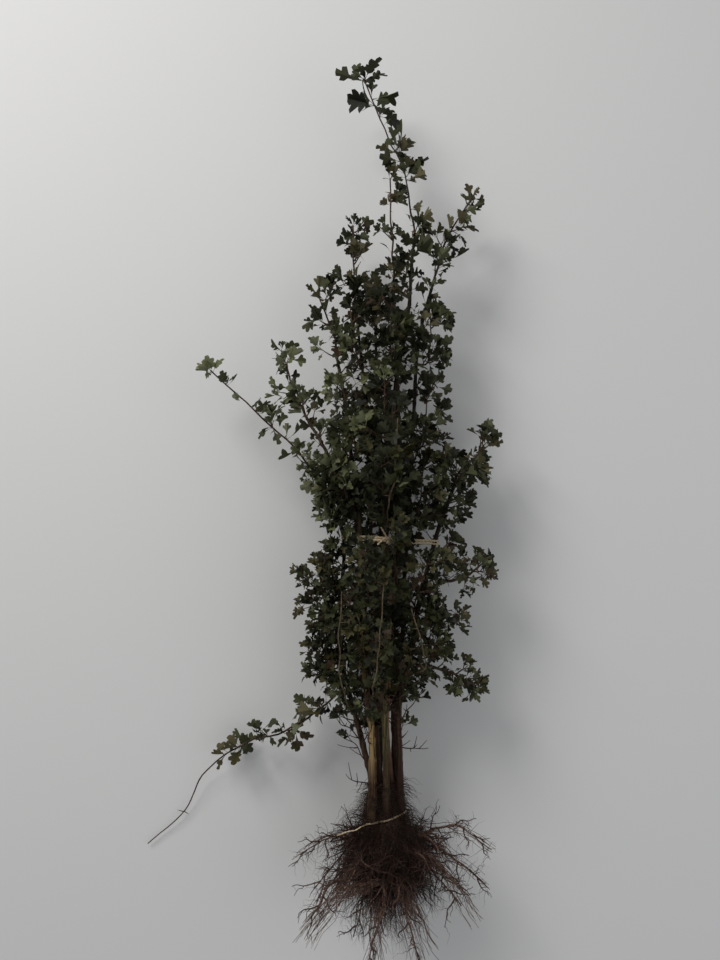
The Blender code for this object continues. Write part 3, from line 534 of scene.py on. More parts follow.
# Shoots with larger leaves than the others, and how much larger.
LEAF_SIZES = {"leaves_leader_top": 1.6, "leaves_leader_low": 1.35, "leaves_tip_right": 1.1,
              "leaves_left_second": 1.1, "leaves_tip_left": 1.1, "leaves_low_shoot": 1.1,
              "leaves_left_long": 1.15}
LOW_LEAF, LOW_CROWN = 0.73, 0.60      # leaves on masses whose stems end below this height are smaller


def across(axis, towards):
    """The part of a direction that is square to the axis, at unit length."""
    side = towards - axis * towards.dot(axis)
    if side.length < 1e-6:
        side = axis.orthogonal()
    return side.normalized()


def turned(axis, turn):
    return Matrix.Rotation(turn, 3, axis) @ across(axis, Vector((0, 0, 1)))


def leaning(axis, side, angle):
    return axis * math.cos(angle) + side * math.sin(angle)


def branching(axis, turn, lean, draw):
    """A way off the axis at a turn round it, leaning away by lean, which is a range of degrees."""
    return leaning(axis, turned(axis, turn), math.radians(draw.uniform(*lean)))


def above_ground(p, r):
    return Vector((p.x, p.y, max(p.z, GROUND + r)))


def on_path(points, t):
    """The point and the heading a share t along a path."""
    s = t * (len(points) - 1)
    i = min(int(s), len(points) - 2)
    return points[i].lerp(points[i + 1], s - i), (points[i + 1] - points[i]).normalized()


def grown(foot, out, length, lift, count):
    """The points of a twig or a root: it leaves its foot outwards and bends by lift as it grows."""
    points, way = [foot], out.copy()
    for _ in range(count - 1):
        points.append(above_ground(points[-1] + way * length / (count - 1), TWIG_R))
        way = (way + lift * 2 / (count - 1)).normalized()
    return points


def shoot_stem(mass, limbs):
    """The stem of a mass, from inside its limb through its points to its tip."""
    limb, first_point = limbs[mass.host], Vector(mass.path[0])
    if mass.foot is None:
        start, r_foot, r_tip = limb.points[-1], limb.radii[-1], LONG_TIP_R
        out = heading(limb.points, len(limb.points) - 1)
        sunk = [limb.points[-2]]
    else:
        centre, axis, r = at_height(limb, mass.foot)
        side = across(axis, first_point - centre)
        start, r_foot, r_tip = centre + side * r, SHOOT_R, SHOOT_TIP_R
        out, sunk = (side + axis * 0.55).normalized(), [centre]
    near = start + out * 0.25 * (first_point - start).length
    count = max(10, round(length_of([start, near, *map(Vector, mass.path)]) / SHOOT_STEP))
    main = bent(curve_through([start, near, *mass.path], count), *SHOOT_CROOK, len(mass.name))
    return tapered(sunk + [above_ground(p, TWIG_R) for p in main], r_foot, r_tip)


def side_length(longest, t, draw, least):
    """How long a side twig is: the further up its stem the shorter, and no two alike."""
    return longest * draw.uniform(least, 1.05) * (1.15 - 0.55 * t)


def side_twigs(mass, main, count, shift, draw):
    """Twigs by the golden angle up the stem of a mass, the first of them a share shift of a step up it."""
    first, last = mass.leafy
    twigs = []
    for k in range(count):
        t = first + (last - first) * (k + shift) / count
        foot, axis = on_path(main, t)
        out = branching(axis, GOLDEN * k + draw.uniform(*WOBBLE), SIDE_LEAN, draw)
        reach = side_length(mass.spread, t, draw, 0.75)
        twigs.append(bent(grown(foot, out, reach, LIFT, TWIG_RINGS), *TWIG_CROOK, k))
    return twigs


def finer_twigs(twig, count, draw):
    """The last order of twigs, that one twig bears from a third of the way up to near its tip."""
    found = []
    for j in range(count):
        foot, axis = on_path(twig, 0.30 + 0.60 * j / count)
        out = branching(axis, GOLDEN * j + draw.uniform(0, math.tau), FINE_LEAN, draw)
        found.append(grown(foot, out, length_of(twig) * draw.uniform(0.35, 0.60), LIFT, FINE_RINGS))
    return found


def spurs_on(path, first, last, spacing, size, draw):
    """Spurs dealt along a twig from its tip down; the one at the tip has the most leaves."""
    count = max(1, round(length_of(path) * (last - first) / spacing))
    found = []
    for k in range(count):
        place, axis = on_path(path, last - (last - first) * k / count)
        if k:
            axis = branching(axis, GOLDEN * k + draw.uniform(0, math.tau), SPUR_LEAN, draw)
        leaves = draw.choice(SPUR_LEAVES) + MORE_AT_TIP * (k == 0)
        found.append(Spur(place, axis, size * draw.uniform(0.85, 1.1), leaves))
    return found


def thorn(path, t, length, draw):
    """A straight thorn that stands off a shoot a share t up it."""
    foot, axis = on_path(path, t)
    way = branching(axis, draw.uniform(0, math.tau), THORN_LEAN, draw)
    return Limb([foot, foot + way * length * 0.5, foot + way * length], THORN_RADII)


limbs = {**stems, **boughs}
twig_limbs, spurs = [], []
for mass in MASSES:
    draw, full = random.Random(mass.name), mass.fullness
    stem = limbs[mass.name] = shoot_stem(mass, limbs)
    bushy = mass.spread > SLIM and full > SPARSE
    twigs = side_twigs(mass, stem.points, mass.twigs, 0.4, draw)
    if bushy:
        twigs += side_twigs(mass, stem.points, round((mass.twigs - 1) * min(1, full)), 0.9, draw)
    finer = [points for twig in twigs for points in finer_twigs(twig, round(3 * full) if bushy else 1, draw)]
    size = LEAF_SIZES.get(mass.name, LOW_LEAF if mass.path[-1][1] < LOW_CROWN else 1.0)
    spurs += spurs_on(stem.points, *mass.leafy, (STEM_SPURS if bushy else SLIM_STEM_SPURS) / full, size, draw)
    for points in twigs:
        if bushy:
            spurs += spurs_on(points, 0.25, 1.0, TWIG_SPURS * size / full, size, draw)
        else:
            spurs += spurs_on(points, 0.5, 1.0, SLIM_TWIG_SPURS, size, draw)
    for points in finer:
        if bushy:
            spurs += spurs_on(points, 0.5, 1.0, TWIG_SPURS * size, size * 0.95, draw)
        else:
            spurs += spurs_on(points, 1.0, 1.0, 1.0, size * 0.9, draw)
    twig_limbs.append(stem)
    if not bushy:
        for k in range(round(length_of(stem.points) / THORN_GAP)):
            twig_limbs.append(thorn(stem.points, draw.uniform(0.1, 0.95), draw.uniform(0.007, 0.014), draw))
    twig_limbs += [tapered(points, TWIG_R, TWIG_TIP_R) for points in twigs]
    twig_limbs += [tapered(points, FINE_R, FINE_TIP_R) for points in finer]

# Between the masses the stems and the boughs bear short twigs of their own: the share of the limb that is
# bare below them, how far they reach at most, and how far apart they stand. Up in the crown, from one height
# on, ever more of them are missing: so large a share for each metre up.
SHORT_TWIGS = {
    "stem_1": (0.34, 0.038, 0.007), "stem_2": (0.36, 0.034, 0.013), "stem_3": (0.34, 0.034, 0.011),
    "stem_4": (0.33, 0.034, 0.012), "stem_5": (0.31, 0.03, 0.015), "stem_6": (0.31, 0.03, 0.015),
    "stem_7": (0.29, 0.03, 0.015), "stem_8": (0.34, 0.044, 0.009), "bough_left": (0.15, 0.03, 0.012),
    "bough_right_mid": (0.3, 0.03, 0.014), "bough_right_low": (0.35, 0.03, 0.016),
}
THIN_FROM, THIN_BY = 0.70, 3.2
for name, (bare, longest, spacing) in SHORT_TWIGS.items():
    draw, path = random.Random(name), limbs[name].points
    count = round(length_of(path) * (1 - bare) / spacing)
    for k in range(count):
        foot, axis = on_path(path, bare + (1 - bare) * (k + draw.random()) / count)
        if foot.y > THIN_FROM and draw.random() < THIN_BY * (foot.y - THIN_FROM):
            continue
        out = branching(axis, draw.uniform(0, math.tau), SHORT_LEAN, draw)
        points = grown(foot, out, draw.uniform(0.3, 1.0) * longest, LIFT, SHORT_RINGS)
        twig_limbs.append(tapered(points, TWIG_R * 0.8, TWIG_TIP_R))
        spurs += spurs_on(points, 0.4, 1.0, 0.012, 0.9, draw)

# Twigs of the stems' own that show: bare ones below the leaves and leafy ones over the twine. Each: the
# stem, the height, the way out, the length and how many rosettes it bears.
LONE_TWIGS = [
    ("stem_1", 0.205, (-0.5, 0.6, 0.25), 0.06, 0), ("stem_1", 0.175, (-0.8, 0.2, 0.3), 0.045, 0),
    ("stem_2", 0.238, (-0.25, 0.6, 0.7), 0.05, 0), ("stem_3", 0.3, (-0.4, 0.7, 0.6), 0.075, 1),
    ("stem_8", 0.235, (0.7, -0.1, 0.25), 0.045, 0), ("stem_8", 0.27, (0.5, 0.7, 0.4), 0.055, 1),
    ("stem_7", 0.205, (0.4, 0.6, -0.6), 0.05, 0), ("stem_5", 0.285, (0.3, 0.7, 0.6), 0.07, 1),
    ("stem_4", 0.215, (-0.2, 0.5, -0.8), 0.055, 0), ("stem_1", 0.24, (-0.7, 0.4, -0.4), 0.065, 0),
    ("stem_5", 0.532, (0.45, 0.55, 0.75), 0.03, 3), ("stem_5", 0.545, (0.6, 0.3, 0.75), 0.034, 3),
    ("stem_6", 0.525, (0.25, 0.55, 0.9), 0.036, 3), ("stem_1", 0.545, (0.1, 0.4, 0.9), 0.03, 3),
    ("stem_1", 0.53, (-0.5, 0.5, 0.8), 0.03, 3), ("stem_7", 0.53, (0.1, 0.4, 0.9), 0.034, 3),
]
LONE_R, LONE_TIP_R, LONE_FINE_R, LONE_FINE_TIP_R = 0.0011, 0.0005, 0.0007, 0.0004
LONE_CROOK = 0.006, 0.030
for name, y, way, length, leafy in LONE_TWIGS:
    draw, way = random.Random(name + str(y)), Vector(way).normalized()
    centre, _, r = at_height(stems[name], y)
    points = bent(grown(centre + way * r * 0.6, way, length, LIFT, LONE_RINGS), *LONE_CROOK, y * 90)
    twig_limbs.append(tapered(points, LONE_R, LONE_TIP_R))
    twig_limbs += [tapered(p, LONE_FINE_R, LONE_FINE_TIP_R) for p in finer_twigs(points, 3, draw)]
    twig_limbs.append(thorn(points, 0.5, 0.009, draw))
    if leafy:
        spurs += spurs_on(points, 0.4, 1.0, 0.5 * length / leafy, 0.9, draw)

# Rosettes that stand straight on a stem: how far down from its tip, the way they point (X, Y, Z), the size
# of their leaves and how many.
STEM_ROSETTES = {
    "leaves_leader_top": [
        (0.003, -0.95, 0.35, 0.2, 1.7, 3), (0.008, 0.4, 0.8, 0.3, 1.5, 3), (0.02, 0.95, 0.3, 0.1, 1.6, 3),
        (0.026, -0.85, 0.0, 0.3, 1.6, 3), (0.036, 0.85, -0.1, 0.4, 1.5, 3), (0.046, -0.2, 0.1, 0.9, 0.8, 1),
        (0.07, 0.9, 0.5, 0.3, 1.4, 2), (0.082, -0.3, 0.5, 0.8, 0.9, 2), (0.09, 0.9, 0.35, 0.2, 1.5, 2),
        (0.108, -0.9, 0.2, 0.3, 1.1, 3), (0.122, 0.2, 0.4, 0.9, 1.0, 2), (0.132, 0.9, 0.4, 0.2, 1.5, 2),
        (0.144, -0.8, 0.3, 0.4, 1.0, 2), (0.16, 0.5, 0.5, 0.7, 1.1, 2), (0.176, -0.7, 0.5, 0.5, 1.2, 2)],
    "leaves_leader_low": [
        (0.004, 0.95, 0.35, 0.2, 1.6, 2), (0.02, -0.8, 0.4, 0.5, 1.2, 2), (0.034, 0.6, 0.5, 0.6, 1.2, 2),
        (0.05, -0.5, 0.6, 0.6, 1.0, 2), (0.064, 0.9, 0.4, 0.2, 1.6, 3), (0.078, -0.8, 0.3, 0.5, 1.2, 2),
        (0.092, 0.75, 0.5, 0.4, 1.3, 3), (0.106, -0.5, 0.6, 0.7, 1.2, 2)],
    "leaves_left_long": [
        (0.002, -0.8, 0.5, 0.3, 1.0, 4), (0.018, 0.3, 0.9, 0.3, 1.2, 4), (0.032, -0.7, -0.5, 0.5, 0.8, 2),
        (0.05, 0.5, 0.8, 0.3, 1.2, 4), (0.066, -0.7, -0.3, 0.5, 1.1, 4), (0.084, 0.8, 0.6, 0.3, 1.2, 3),
        (0.102, -0.6, -0.8, 0.2, 1.3, 3), (0.12, 0.4, 0.8, 0.5, 1.1, 3), (0.136, -0.5, -0.5, 0.7, 0.9, 3),
        (0.154, 0.6, 0.6, 0.5, 1.1, 3), (0.172, -0.6, -0.5, 0.6, 1.1, 3), (0.19, 0.6, 0.4, 0.7, 1.1, 3),
        (0.208, -0.5, -0.5, 0.7, 1.1, 3), (0.226, 0.6, 0.3, 0.7, 1.1, 3), (0.242, -0.5, -0.5, 0.7, 1.2, 3)],
    "stem_5": [
        (0.004, 0.7, 0.6, 0.5, 1.5, 3), (0.024, -0.8, 0.5, 0.3, 1.3, 3), (0.044, 0.6, 0.4, 0.7, 1.4, 3),
        (0.064, -0.3, 0.6, 0.8, 1.3, 3), (0.086, 0.9, 0.3, 0.3, 1.2, 3), (0.108, -0.7, 0.4, 0.6, 1.3, 3)],
    "stem_7": [
        (0.016, -0.6, 0.5, 0.6, 1.0, 3), (0.04, 0.7, 0.6, 0.5, 1.1, 2), (0.062, -0.4, 0.6, 0.8, 1.1, 3),
        (0.086, 0.6, 0.5, 0.7, 1.1, 2), (0.11, -0.5, 0.5, 0.7, 1.1, 3), (0.136, 0.5, 0.4, 0.8, 1.0, 2)],
    "stem_8": [
        (0.014, 0.6, 0.2, 0.8, 1.0, 3), (0.026, -0.6, 0.6, 0.6, 1.0, 3), (0.04, 0.5, 0.2, 0.9, 1.0, 3),
        (0.052, -0.3, 0.6, 0.9, 1.0, 3), (0.064, 0.7, -0.2, 0.8, 1.0, 3), (0.076, -0.2, 0.5, 0.9, 1.0, 3),
        (0.112, 0.3, 0.5, 0.9, 0.9, 3), (0.124, -0.4, 0.4, 0.9, 0.9, 3), (0.138, 0.5, 0.5, 0.8, 0.9, 3),
        (0.152, 0.0, 0.6, 0.9, 0.9, 3), (0.168, -0.5, 0.4, 0.8, 0.9, 3), (0.184, 0.4, 0.4, 0.9, 0.9, 3)],
}
for name, rosettes_here in STEM_ROSETTES.items():
    path = limbs[name].points
    for down, *way, size, leaves in rosettes_here:
        place, _ = on_path(path, 1 - down / length_of(path))
        spurs.append(Spur(place, Vector(way).normalized(), size, leaves))

twig_wood = bark("twig_bark", (0.022, 0.012, 0.008), (0.085, 0.048, 0.030), (1, 0.6, 1))
mass_names = [mass.name for mass in MASSES]
twigs_piece = wooden("twigs", twig_limbs, twig_wood, sides=5, relief=0.5, lengthwise=0.5)
fitted(twigs_piece, "bark", *mass_names)

# ---- Pale shoots -----------------------------------------------------
# Long dry shoots, 2 to 3 mm through and pale brown, that come forward from the stems and stand before the
# leaves of the crown. Each: the stem and the height of its foot, then the points it passes.
PALE_SHOOTS = [
    ("stem_1", 0.27, (-0.064, 0.325, 0.07), (-0.07, 0.385, 0.098), (-0.067, 0.48, 0.104)),
    ("stem_3", 0.29, (-0.022, 0.34, 0.09), (-0.013, 0.4, 0.128), (-0.006, 0.492, 0.13)),
    ("stem_7", 0.33, (0.054, 0.365, 0.074), (0.05, 0.395, 0.104), (0.034, 0.456, 0.112)),
    ("stem_5", 0.575, (0.004, 0.62, 0.086), (0.011, 0.67, 0.096), (0.017, 0.74, 0.086)),
]
PALE_R, PALE_TIP_R = 0.0014, 0.0008
PALE_RINGS = 44
PALE_CROOK = 0.0034, 0.030
PALE_THORNS, PALE_THORN = (0.35, 0.60, 0.85), 0.012   # where each shoot's thorns stand, and their length
dry_bark = bark("dry_bark", (0.056, 0.040, 0.022), (0.135, 0.100, 0.062), (1, 0.4, 1))
pale_limbs = []
for name, y, *path in PALE_SHOOTS:
    draw = random.Random(name)
    points = bent(curve_through([at_height(stems[name], y)[0], *path], PALE_RINGS), *PALE_CROOK, y * 70)
    pale_limbs.append(tapered(points, PALE_R, PALE_TIP_R))
    pale_limbs += [thorn(points, t, PALE_THORN, draw) for t in PALE_THORNS]
pale_piece = wooden("pale_shoots", pale_limbs, dry_bark, sides=6, relief=0.4, lengthwise=0.4)
fitted(pale_piece, "bark", *mass_names)

# ---- Leaves ----------------------------------------------------------
# Thin lobed blades, mostly 12 to 28 mm long and up to 40 mm on the leader, on a short stalk: half glossy
# above, paler and duller beneath, folded along the midrib. They stand in rosettes on the spurs, and every
# rosette is of one colour.
BLADE = 0.021             # length of a middling blade
BLADE_RANGE = 0.65, 1.25  # the least and the most of that
LEAF_THICK = 0.012        # thickness at the midrib, as a share of a leaf's length
STALK, STALK_R = 0.22, 0.018          # length and radius of the stalk, as shares of the blade's length
RIBS = 0.28, 0.52, 0.76   # the points of the midrib that the veins and the blade's folds run to
UNEVEN, ASTRAY = (0.80, 1.10), (-0.03, 0.03)          # how the points of a real blade stray from its outline
# Half outlines of the blade from its wedge to its tip: across and along, as shares of its length.
LEAF_SHAPES = {
    "fan": [(0.05, 0.2), (0.14, 0.4), (0.34, 0.47), (0.48, 0.6), (0.47, 0.74), (0.33, 0.78), (0.12, 0.57),
        (0.22, 0.82), (0.17, 0.97)],
    "three_lobed": [(0.04, 0.24), (0.11, 0.46), (0.28, 0.52), (0.42, 0.62), (0.46, 0.76), (0.34, 0.82),
        (0.11, 0.6), (0.2, 0.84), (0.15, 0.98)],
    "five_lobed": [(0.05, 0.14), (0.28, 0.2), (0.41, 0.3), (0.38, 0.42), (0.1, 0.36), (0.34, 0.5),
        (0.45, 0.64), (0.37, 0.75), (0.12, 0.62), (0.21, 0.84), (0.15, 0.98)],
    "narrow": [(0.04, 0.24), (0.09, 0.44), (0.27, 0.58), (0.3, 0.74), (0.09, 0.66), (0.15, 0.95)],
}
# Every shape comes folded up along its midrib and opened out: the fold, and how far its edges curl down.
LEAF_CURLS = [(0.80, 0.12), (0.32, 0.38), (0.55, -0.20)]


def leaf_shape(name, half, fold, curl):
    """One leaf, a blade's length of 1 along +Y and its upper face to +Z, closed, with its stalk."""
    uneven = random.Random(name)

    def place(x, y):
        return Vector((x, y, abs(x) * fold - curl * (y * y + x * x)))

    right, left = ([place(hand * x * uneven.uniform(*UNEVEN), y + uneven.uniform(*ASTRAY)) for x, y in half]
                   for hand in (1, -1))
    rim = [place(0, 0), *right, place(0, 1), *reversed(left)]
    thick = Vector((0, 0, LEAF_THICK / 2))
    verts = rim + [place(0, y) + thick for y in RIBS] + [place(0, y) - thick for y in RIBS]
    count = len(rim)
    faces, beneath = [], []
    for a in range(count):
        b = (a + 1) % count
        near = [min(range(3), key=lambda k: abs(RIBS[k] - rim[v].y)) for v in (a, b)]
        for first, under in ((count, False), (count + 3, True)):
            m, q = first + near[0], first + near[1]
            pieces = [(a, b, m)] if m == q else [(a, b, m), (b, q, m)]
            faces += [tuple(reversed(f)) for f in pieces] if under else pieces
            beneath += [under] * len(pieces)
    sides = [Vector((math.cos(a), 0, math.sin(a))) * STALK_R for a in (0.5, 2.6, 4.7)]
    foot = len(verts)
    verts += [Vector((0, -STALK, 0)) + s for s in sides] + [place(0, 0.05) + s * 0.6 for s in sides]
    for k in range(3):
        m = (k + 1) % 3
        faces.append((foot + k, foot + 3 + k, foot + 3 + m, foot + m))
    faces += [(foot, foot + 1, foot + 2), (foot + 5, foot + 4, foot + 3)]
    beneath += [True] * 5
    mesh = bpy.data.meshes.new(name)
    mesh.from_pydata(verts, [], faces)
    mesh.attributes.new("beneath", "BOOLEAN", "FACE").data.foreach_set("value", beneath)
    return mesh


leaf_shapes = bpy.data.collections.new("leaf_shapes")
bpy.context.scene.collection.children.link(leaf_shapes)
for shape, half in LEAF_SHAPES.items():
    for number, (fold, curl) in enumerate(LEAF_CURLS):
        name = f"{shape}_{number}"
        leaf_shapes.objects.link(bpy.data.objects.new(name, leaf_shape(name, half, fold, curl)))

leafing = Pattern("leaves_on_spurs", Shapes="Collection", Seed="Int", Material="Material",
                  Underside="Material")
shapes = leafing.add("GeometryNodeCollectionInfo", {"Collection": leafing.given("Shapes"),
                                                    "Separate Children": True, "Reset Children": True})
shape_picked = leafing.add("FunctionNodeRandomValue", {4: 0, 5: len(leaf_shapes.objects) - 1,
                                                       "Seed": leafing.given("Seed")}, 2, data_type="INT")
stance = leafing.add("FunctionNodeAxesToRotation", {0: leafing.attribute("along", "FLOAT_VECTOR"),
                                                    1: leafing.attribute("face", "FLOAT_VECTOR")},
                     primary_axis="Y", secondary_axis="Z")
leaves = leafing.add("GeometryNodeInstanceOnPoints", {
    "Points": leafing.given("Geometry"), "Instance": shapes, "Pick Instance": True,
    "Instance Index": shape_picked, "Rotation": stance, "Scale": leafing.attribute("size")})
leafing.end(leafing.add("GeometryNodeSetMaterial", {
    "Geometry": leafing.close(leaves, smooth=False), "Selection": leafing.attribute("beneath", "BOOLEAN"),
    "Material": leafing.given("Underside")}))


def leaf_finish(name, colour, roughness):
    """A leaf's skin: one plain colour, finely wrinkled between its veins, with a waxy half gloss."""
    made = Finish(name, colour, specular=0.20)
    wrinkles = made.grain(700)
    made.wire("Roughness", roughness + wrinkles * 0.25)
    made.bump(wrinkles, 0.0004)
    return made.material


# Each colour: above and beneath. black_green and deep_green are darker colours that stand as painted shade
# for the leaves deep within the crown; bright_green is partly fresh growth and partly painted light on the
# crown's lit left side.
LEAF_COLOURS = {
    "black_green": ((0.008, 0.009, 0.004), (0.032, 0.034, 0.017)),
    "deep_green": ((0.013, 0.015, 0.006), (0.041, 0.043, 0.021)),
    "green": ((0.029, 0.032, 0.011), (0.07, 0.075, 0.037)),
    "bright_green": ((0.1, 0.108, 0.05), (0.16, 0.168, 0.095)),
    "olive": ((0.046, 0.041, 0.014), (0.088, 0.078, 0.04)),
    "bronze": ((0.036, 0.022, 0.012), (0.05, 0.038, 0.022)),
}
GLOSS_ABOVE, GLOSS_BENEATH = 0.42, 0.6           # how rough each face is; the lower, the glossier
CROWN_R = 0.11            # how far out the crown's outermost leaves begin


def share(value):
    return max(0.0, min(1.0, value))


def colour_of(place, draw):
    """Which colour a rosette has: the two darkest deep within the crown, as painted shade, the brightest
    up its left side, where the lamp lights it, as painted light, and more olive and bronze at its top and its
    foot."""
    outside = min(1.0, math.hypot(place.x, place.z) / CROWN_R)
    # outside thins the painted shade within the crown; left gives the painted light on its lit left side.
    left = share(0.2 - place.x / 0.09) * max(0.0, 1 - abs(place.y - 0.74) / 0.24)
    top, low = share((place.y - 0.80) / 0.20), share((0.58 - place.y) / 0.08)
    deep = (1.0 - 0.6 * outside - 0.35 * left) * (1 - 0.35 * max(top, low))
    shares = {"black_green": deep, "deep_green": deep, "green": 0.75 + 0.3 * left,
              "bright_green": 0.02 + 0.07 * outside * (place.y > 0.6) + 2.0 * left,
              "olive": 0.26 + 0.50 * top + 0.14 * low, "bronze": 0.04 + 0.06 * top + 0.12 * low}
    return draw.choices(list(shares), list(shares.values()))[0]


UP = Vector((0, 1, 0))
TIE_HEIGHT = 0.557        # of the upper tie
TIE_CLEAR = 0.016         # the twine holds the leaves apart by this, above and below it,
TIE_SHOWS = (-0.020, 0.014), (0.042, 0.094)      # from here to here (X): at the knot and at its free span
LEAF_LEAN = 15, 75        # how far a leaf leans away from its spur, in degrees
LOOSE = -0.9, 0.9         # how far its face may stray
TIP_CLEAR = 0.003         # between its tip and the floor


def held_by_twine(p):
    """True for a leaf that would lie over the knot or over the free span of the twine."""
    return (abs(p.y - TIE_HEIGHT) < TIE_CLEAR and p.z > -0.01
            and any(first < p.x < last for first, last in TIE_SHOWS))


leaf_draw = random.Random("rosettes")
rosettes = {name: [] for name in LEAF_COLOURS}
for spur in spurs:
    kept = rosettes[colour_of(spur.place, leaf_draw)]
    outwards = Vector((spur.place.x, 0, spur.place.z))
    out = outwards.normalized() if outwards.length > 0.01 else Vector((0, 0, 1))
    for k in range(spur.leaves):
        along = branching(spur.axis, GOLDEN * k + leaf_draw.uniform(0, 1.2), LEAF_LEAN, leaf_draw)
        size = BLADE * leaf_draw.uniform(*BLADE_RANGE) * spur.size
        loose = Vector([leaf_draw.uniform(*LOOSE) for _ in range(3)])
        face = across(along, UP * 0.55 + out * 0.75 + loose)      # leaves look up the stem and outwards
        tip = above_ground(spur.place + along * size * (1 + STALK), TIP_CLEAR)
        along = (tip - spur.place).normalized()
        if not held_by_twine(spur.place + along * size * 0.8):
            kept.append((spur.place + along * size * STALK, along, across(along, face), size))

for number, (name, (above, beneath)) in enumerate(LEAF_COLOURS.items()):
    feet, alongs, faces, lengths = zip(*rosettes[name])
    points = bpy.data.meshes.new(name)
    points.from_pydata([ORIGIN + foot for foot in feet], [], [])
    for label, ways in (("along", alongs), ("face", faces)):
        flat = [value for way in ways for value in way]
        points.attributes.new(label, "FLOAT_VECTOR", "POINT").data.foreach_set("vector", flat)
    points.attributes.new("size", "FLOAT", "POINT").data.foreach_set("value", lengths)
    fitted(made_by(leafing, "leaves_" + name, points, Shapes=leaf_shapes, Seed=number,
                   Material=leaf_finish(name, above, GLOSS_ABOVE),
                   Underside=leaf_finish(name + "_beneath", beneath, GLOSS_BENEATH)), "leaf", *mass_names)
for shape in list(leaf_shapes.objects):
    bpy.data.objects.remove(shape)
bpy.data.collections.remove(leaf_shapes)

# ---- Root crown ------------------------------------------------------
# The woody stock under the collar, knobbly and fluted, where last year's roots and stems spring from it.
# It is darkened by damp soil, which hides most of its bark.
NECK, BELLY, CROWN_FOOT = 0.112, 0.080, 0.026     # heights of its neck, of its widest place and of its foot
NECK_R, BELLY_R = 0.030, 0.043
CROWN_TOP, CROWN_TOP_R = 0.142, 0.010             # it ends in a blunt top, hidden among the stems' feet
CROWN_RINGS, CROWN_SIDES = 48, 60
KNOB, RIDGE = 0.11, 0.06                          # how far its knobs and ridges stand out, as shares


def crown_radius(y):
    """Radius of the root crown at a height: a neck under the collar, a belly, and a blunt foot."""
    if y > NECK:
        return NECK_R - (NECK_R - CROWN_TOP_R) * ((y - NECK) / (CROWN_TOP - NECK)) ** 1.6
    if y > BELLY:
        s = (NECK - y) / (NECK - BELLY)
        return NECK_R + (BELLY_R - NECK_R) * (3 * s**2 - 2 * s**3)
    return BELLY_R * math.sqrt(max(0.0, 1 - ((BELLY - y) / (BELLY - CROWN_FOOT)) ** 2))


def lumps(a, y, round_it, up_it):
    """Noise over the root crown at an angle and a height, as fine round it and up it as is asked."""
    return noise.noise(Vector((math.cos(a) * round_it, y * up_it, math.sin(a) * round_it)))


crown_verts, crown_faces = [], []
for i in range(CROWN_RINGS):
    y = CROWN_TOP - (CROWN_TOP - CROWN_FOOT - 0.0005) * i / (CROWN_RINGS - 1)
    for k in range(CROWN_SIDES):
        a = math.tau * k / CROWN_SIDES
        r = crown_radius(y) * (1 + KNOB * lumps(a, y, 2.2, 42) + RIDGE * lumps(a, y, 5.0, 16))
        crown_verts.append(ORIGIN + Vector((r * math.cos(a), y, r * math.sin(a))))
for first in range(0, (CROWN_RINGS - 1) * CROWN_SIDES, CROWN_SIDES):
    for k in range(CROWN_SIDES):
        a, b = first + k, first + (k + 1) % CROWN_SIDES
        crown_faces.append((a, b, b + CROWN_SIDES, a + CROWN_SIDES))
crown_faces.append(tuple(reversed(range(CROWN_SIDES))))
crown_faces.append(tuple(range(len(crown_verts) - CROWN_SIDES, len(crown_verts))))
crown_mesh = bpy.data.meshes.new("root_crown_bark")
crown_mesh.from_pydata(crown_verts, [], crown_faces)
soiled_bark = bark("root_crown_bark", (0.012, 0.007, 0.005), (0.075, 0.040, 0.026), (1, 0.6, 1))
crown_mesh.materials.append(soiled_bark)
crown_mesh.shade_smooth()
crown_piece = fitted(placed("root_crown_bark", crown_mesh), "root", "root_crown")

# ---- Roots -----------------------------------------------------------
# Nine main roots, tan under a thin red-brown skin, that wind out and down from the crown, and the finer
# ones that branch from them by the same rule as the twigs, but bend down and out.
ROOTS = {  # degrees round the crown from +X towards +Z, height, the points that it passes, radius at its foot
    "root_left": (172, 0.106, [(-0.085, 0.092, -0.01), (-0.136, 0.062, -0.022)], 0.0026),
    "root_right_long": (12, 0.106, [(0.1, 0.118, 0.014), (0.16, 0.086, 0.022)], 0.0026),
    "root_right_thick": (38, 0.092, [(0.072, 0.082, 0.046), (0.112, 0.036, 0.06)], 0.0046),
    "root_right_outer": (345, 0.092, [(0.095, 0.072, -0.006), (0.156, 0.024, 0.006)], 0.004),
    "root_left_arch": (138, 0.076, [(-0.06, 0.06, 0.046), (-0.096, 0.03, 0.06), (-0.118, 0.0, 0.062)],
        0.0046),
    "root_front": (98, 0.06, [(-0.008, 0.02, 0.072), (-0.034, -0.054, 0.098)], 0.0042),
    "root_front_right": (68, 0.06, [(0.026, 0.028, 0.07), (0.044, -0.046, 0.098)], 0.0042),
    "root_back_left": (222, 0.072, [(-0.06, 0.034, -0.062), (-0.086, -0.03, -0.096)], 0.0042),
    "root_back_right": (305, 0.068, [(0.046, 0.024, -0.066), (0.07, -0.04, -0.098)], 0.0042),
}
# Root masses: degrees round the crown, height, the points that the mass's own root passes, its spread.
FINE_ROOTS = {
    "fine_roots_left": (190, 0.088, [(-0.112, 0.014, -0.014)], 0.07),
    "fine_roots_right": (358, 0.07, [(0.112, 0.008, 0.03)], 0.07),
    "fine_roots_front": (116, 0.07, [(-0.05, -0.01, 0.084)], 0.066),
    "fine_roots_back": (262, 0.066, [(-0.01, -0.014, -0.092)], 0.066),
}
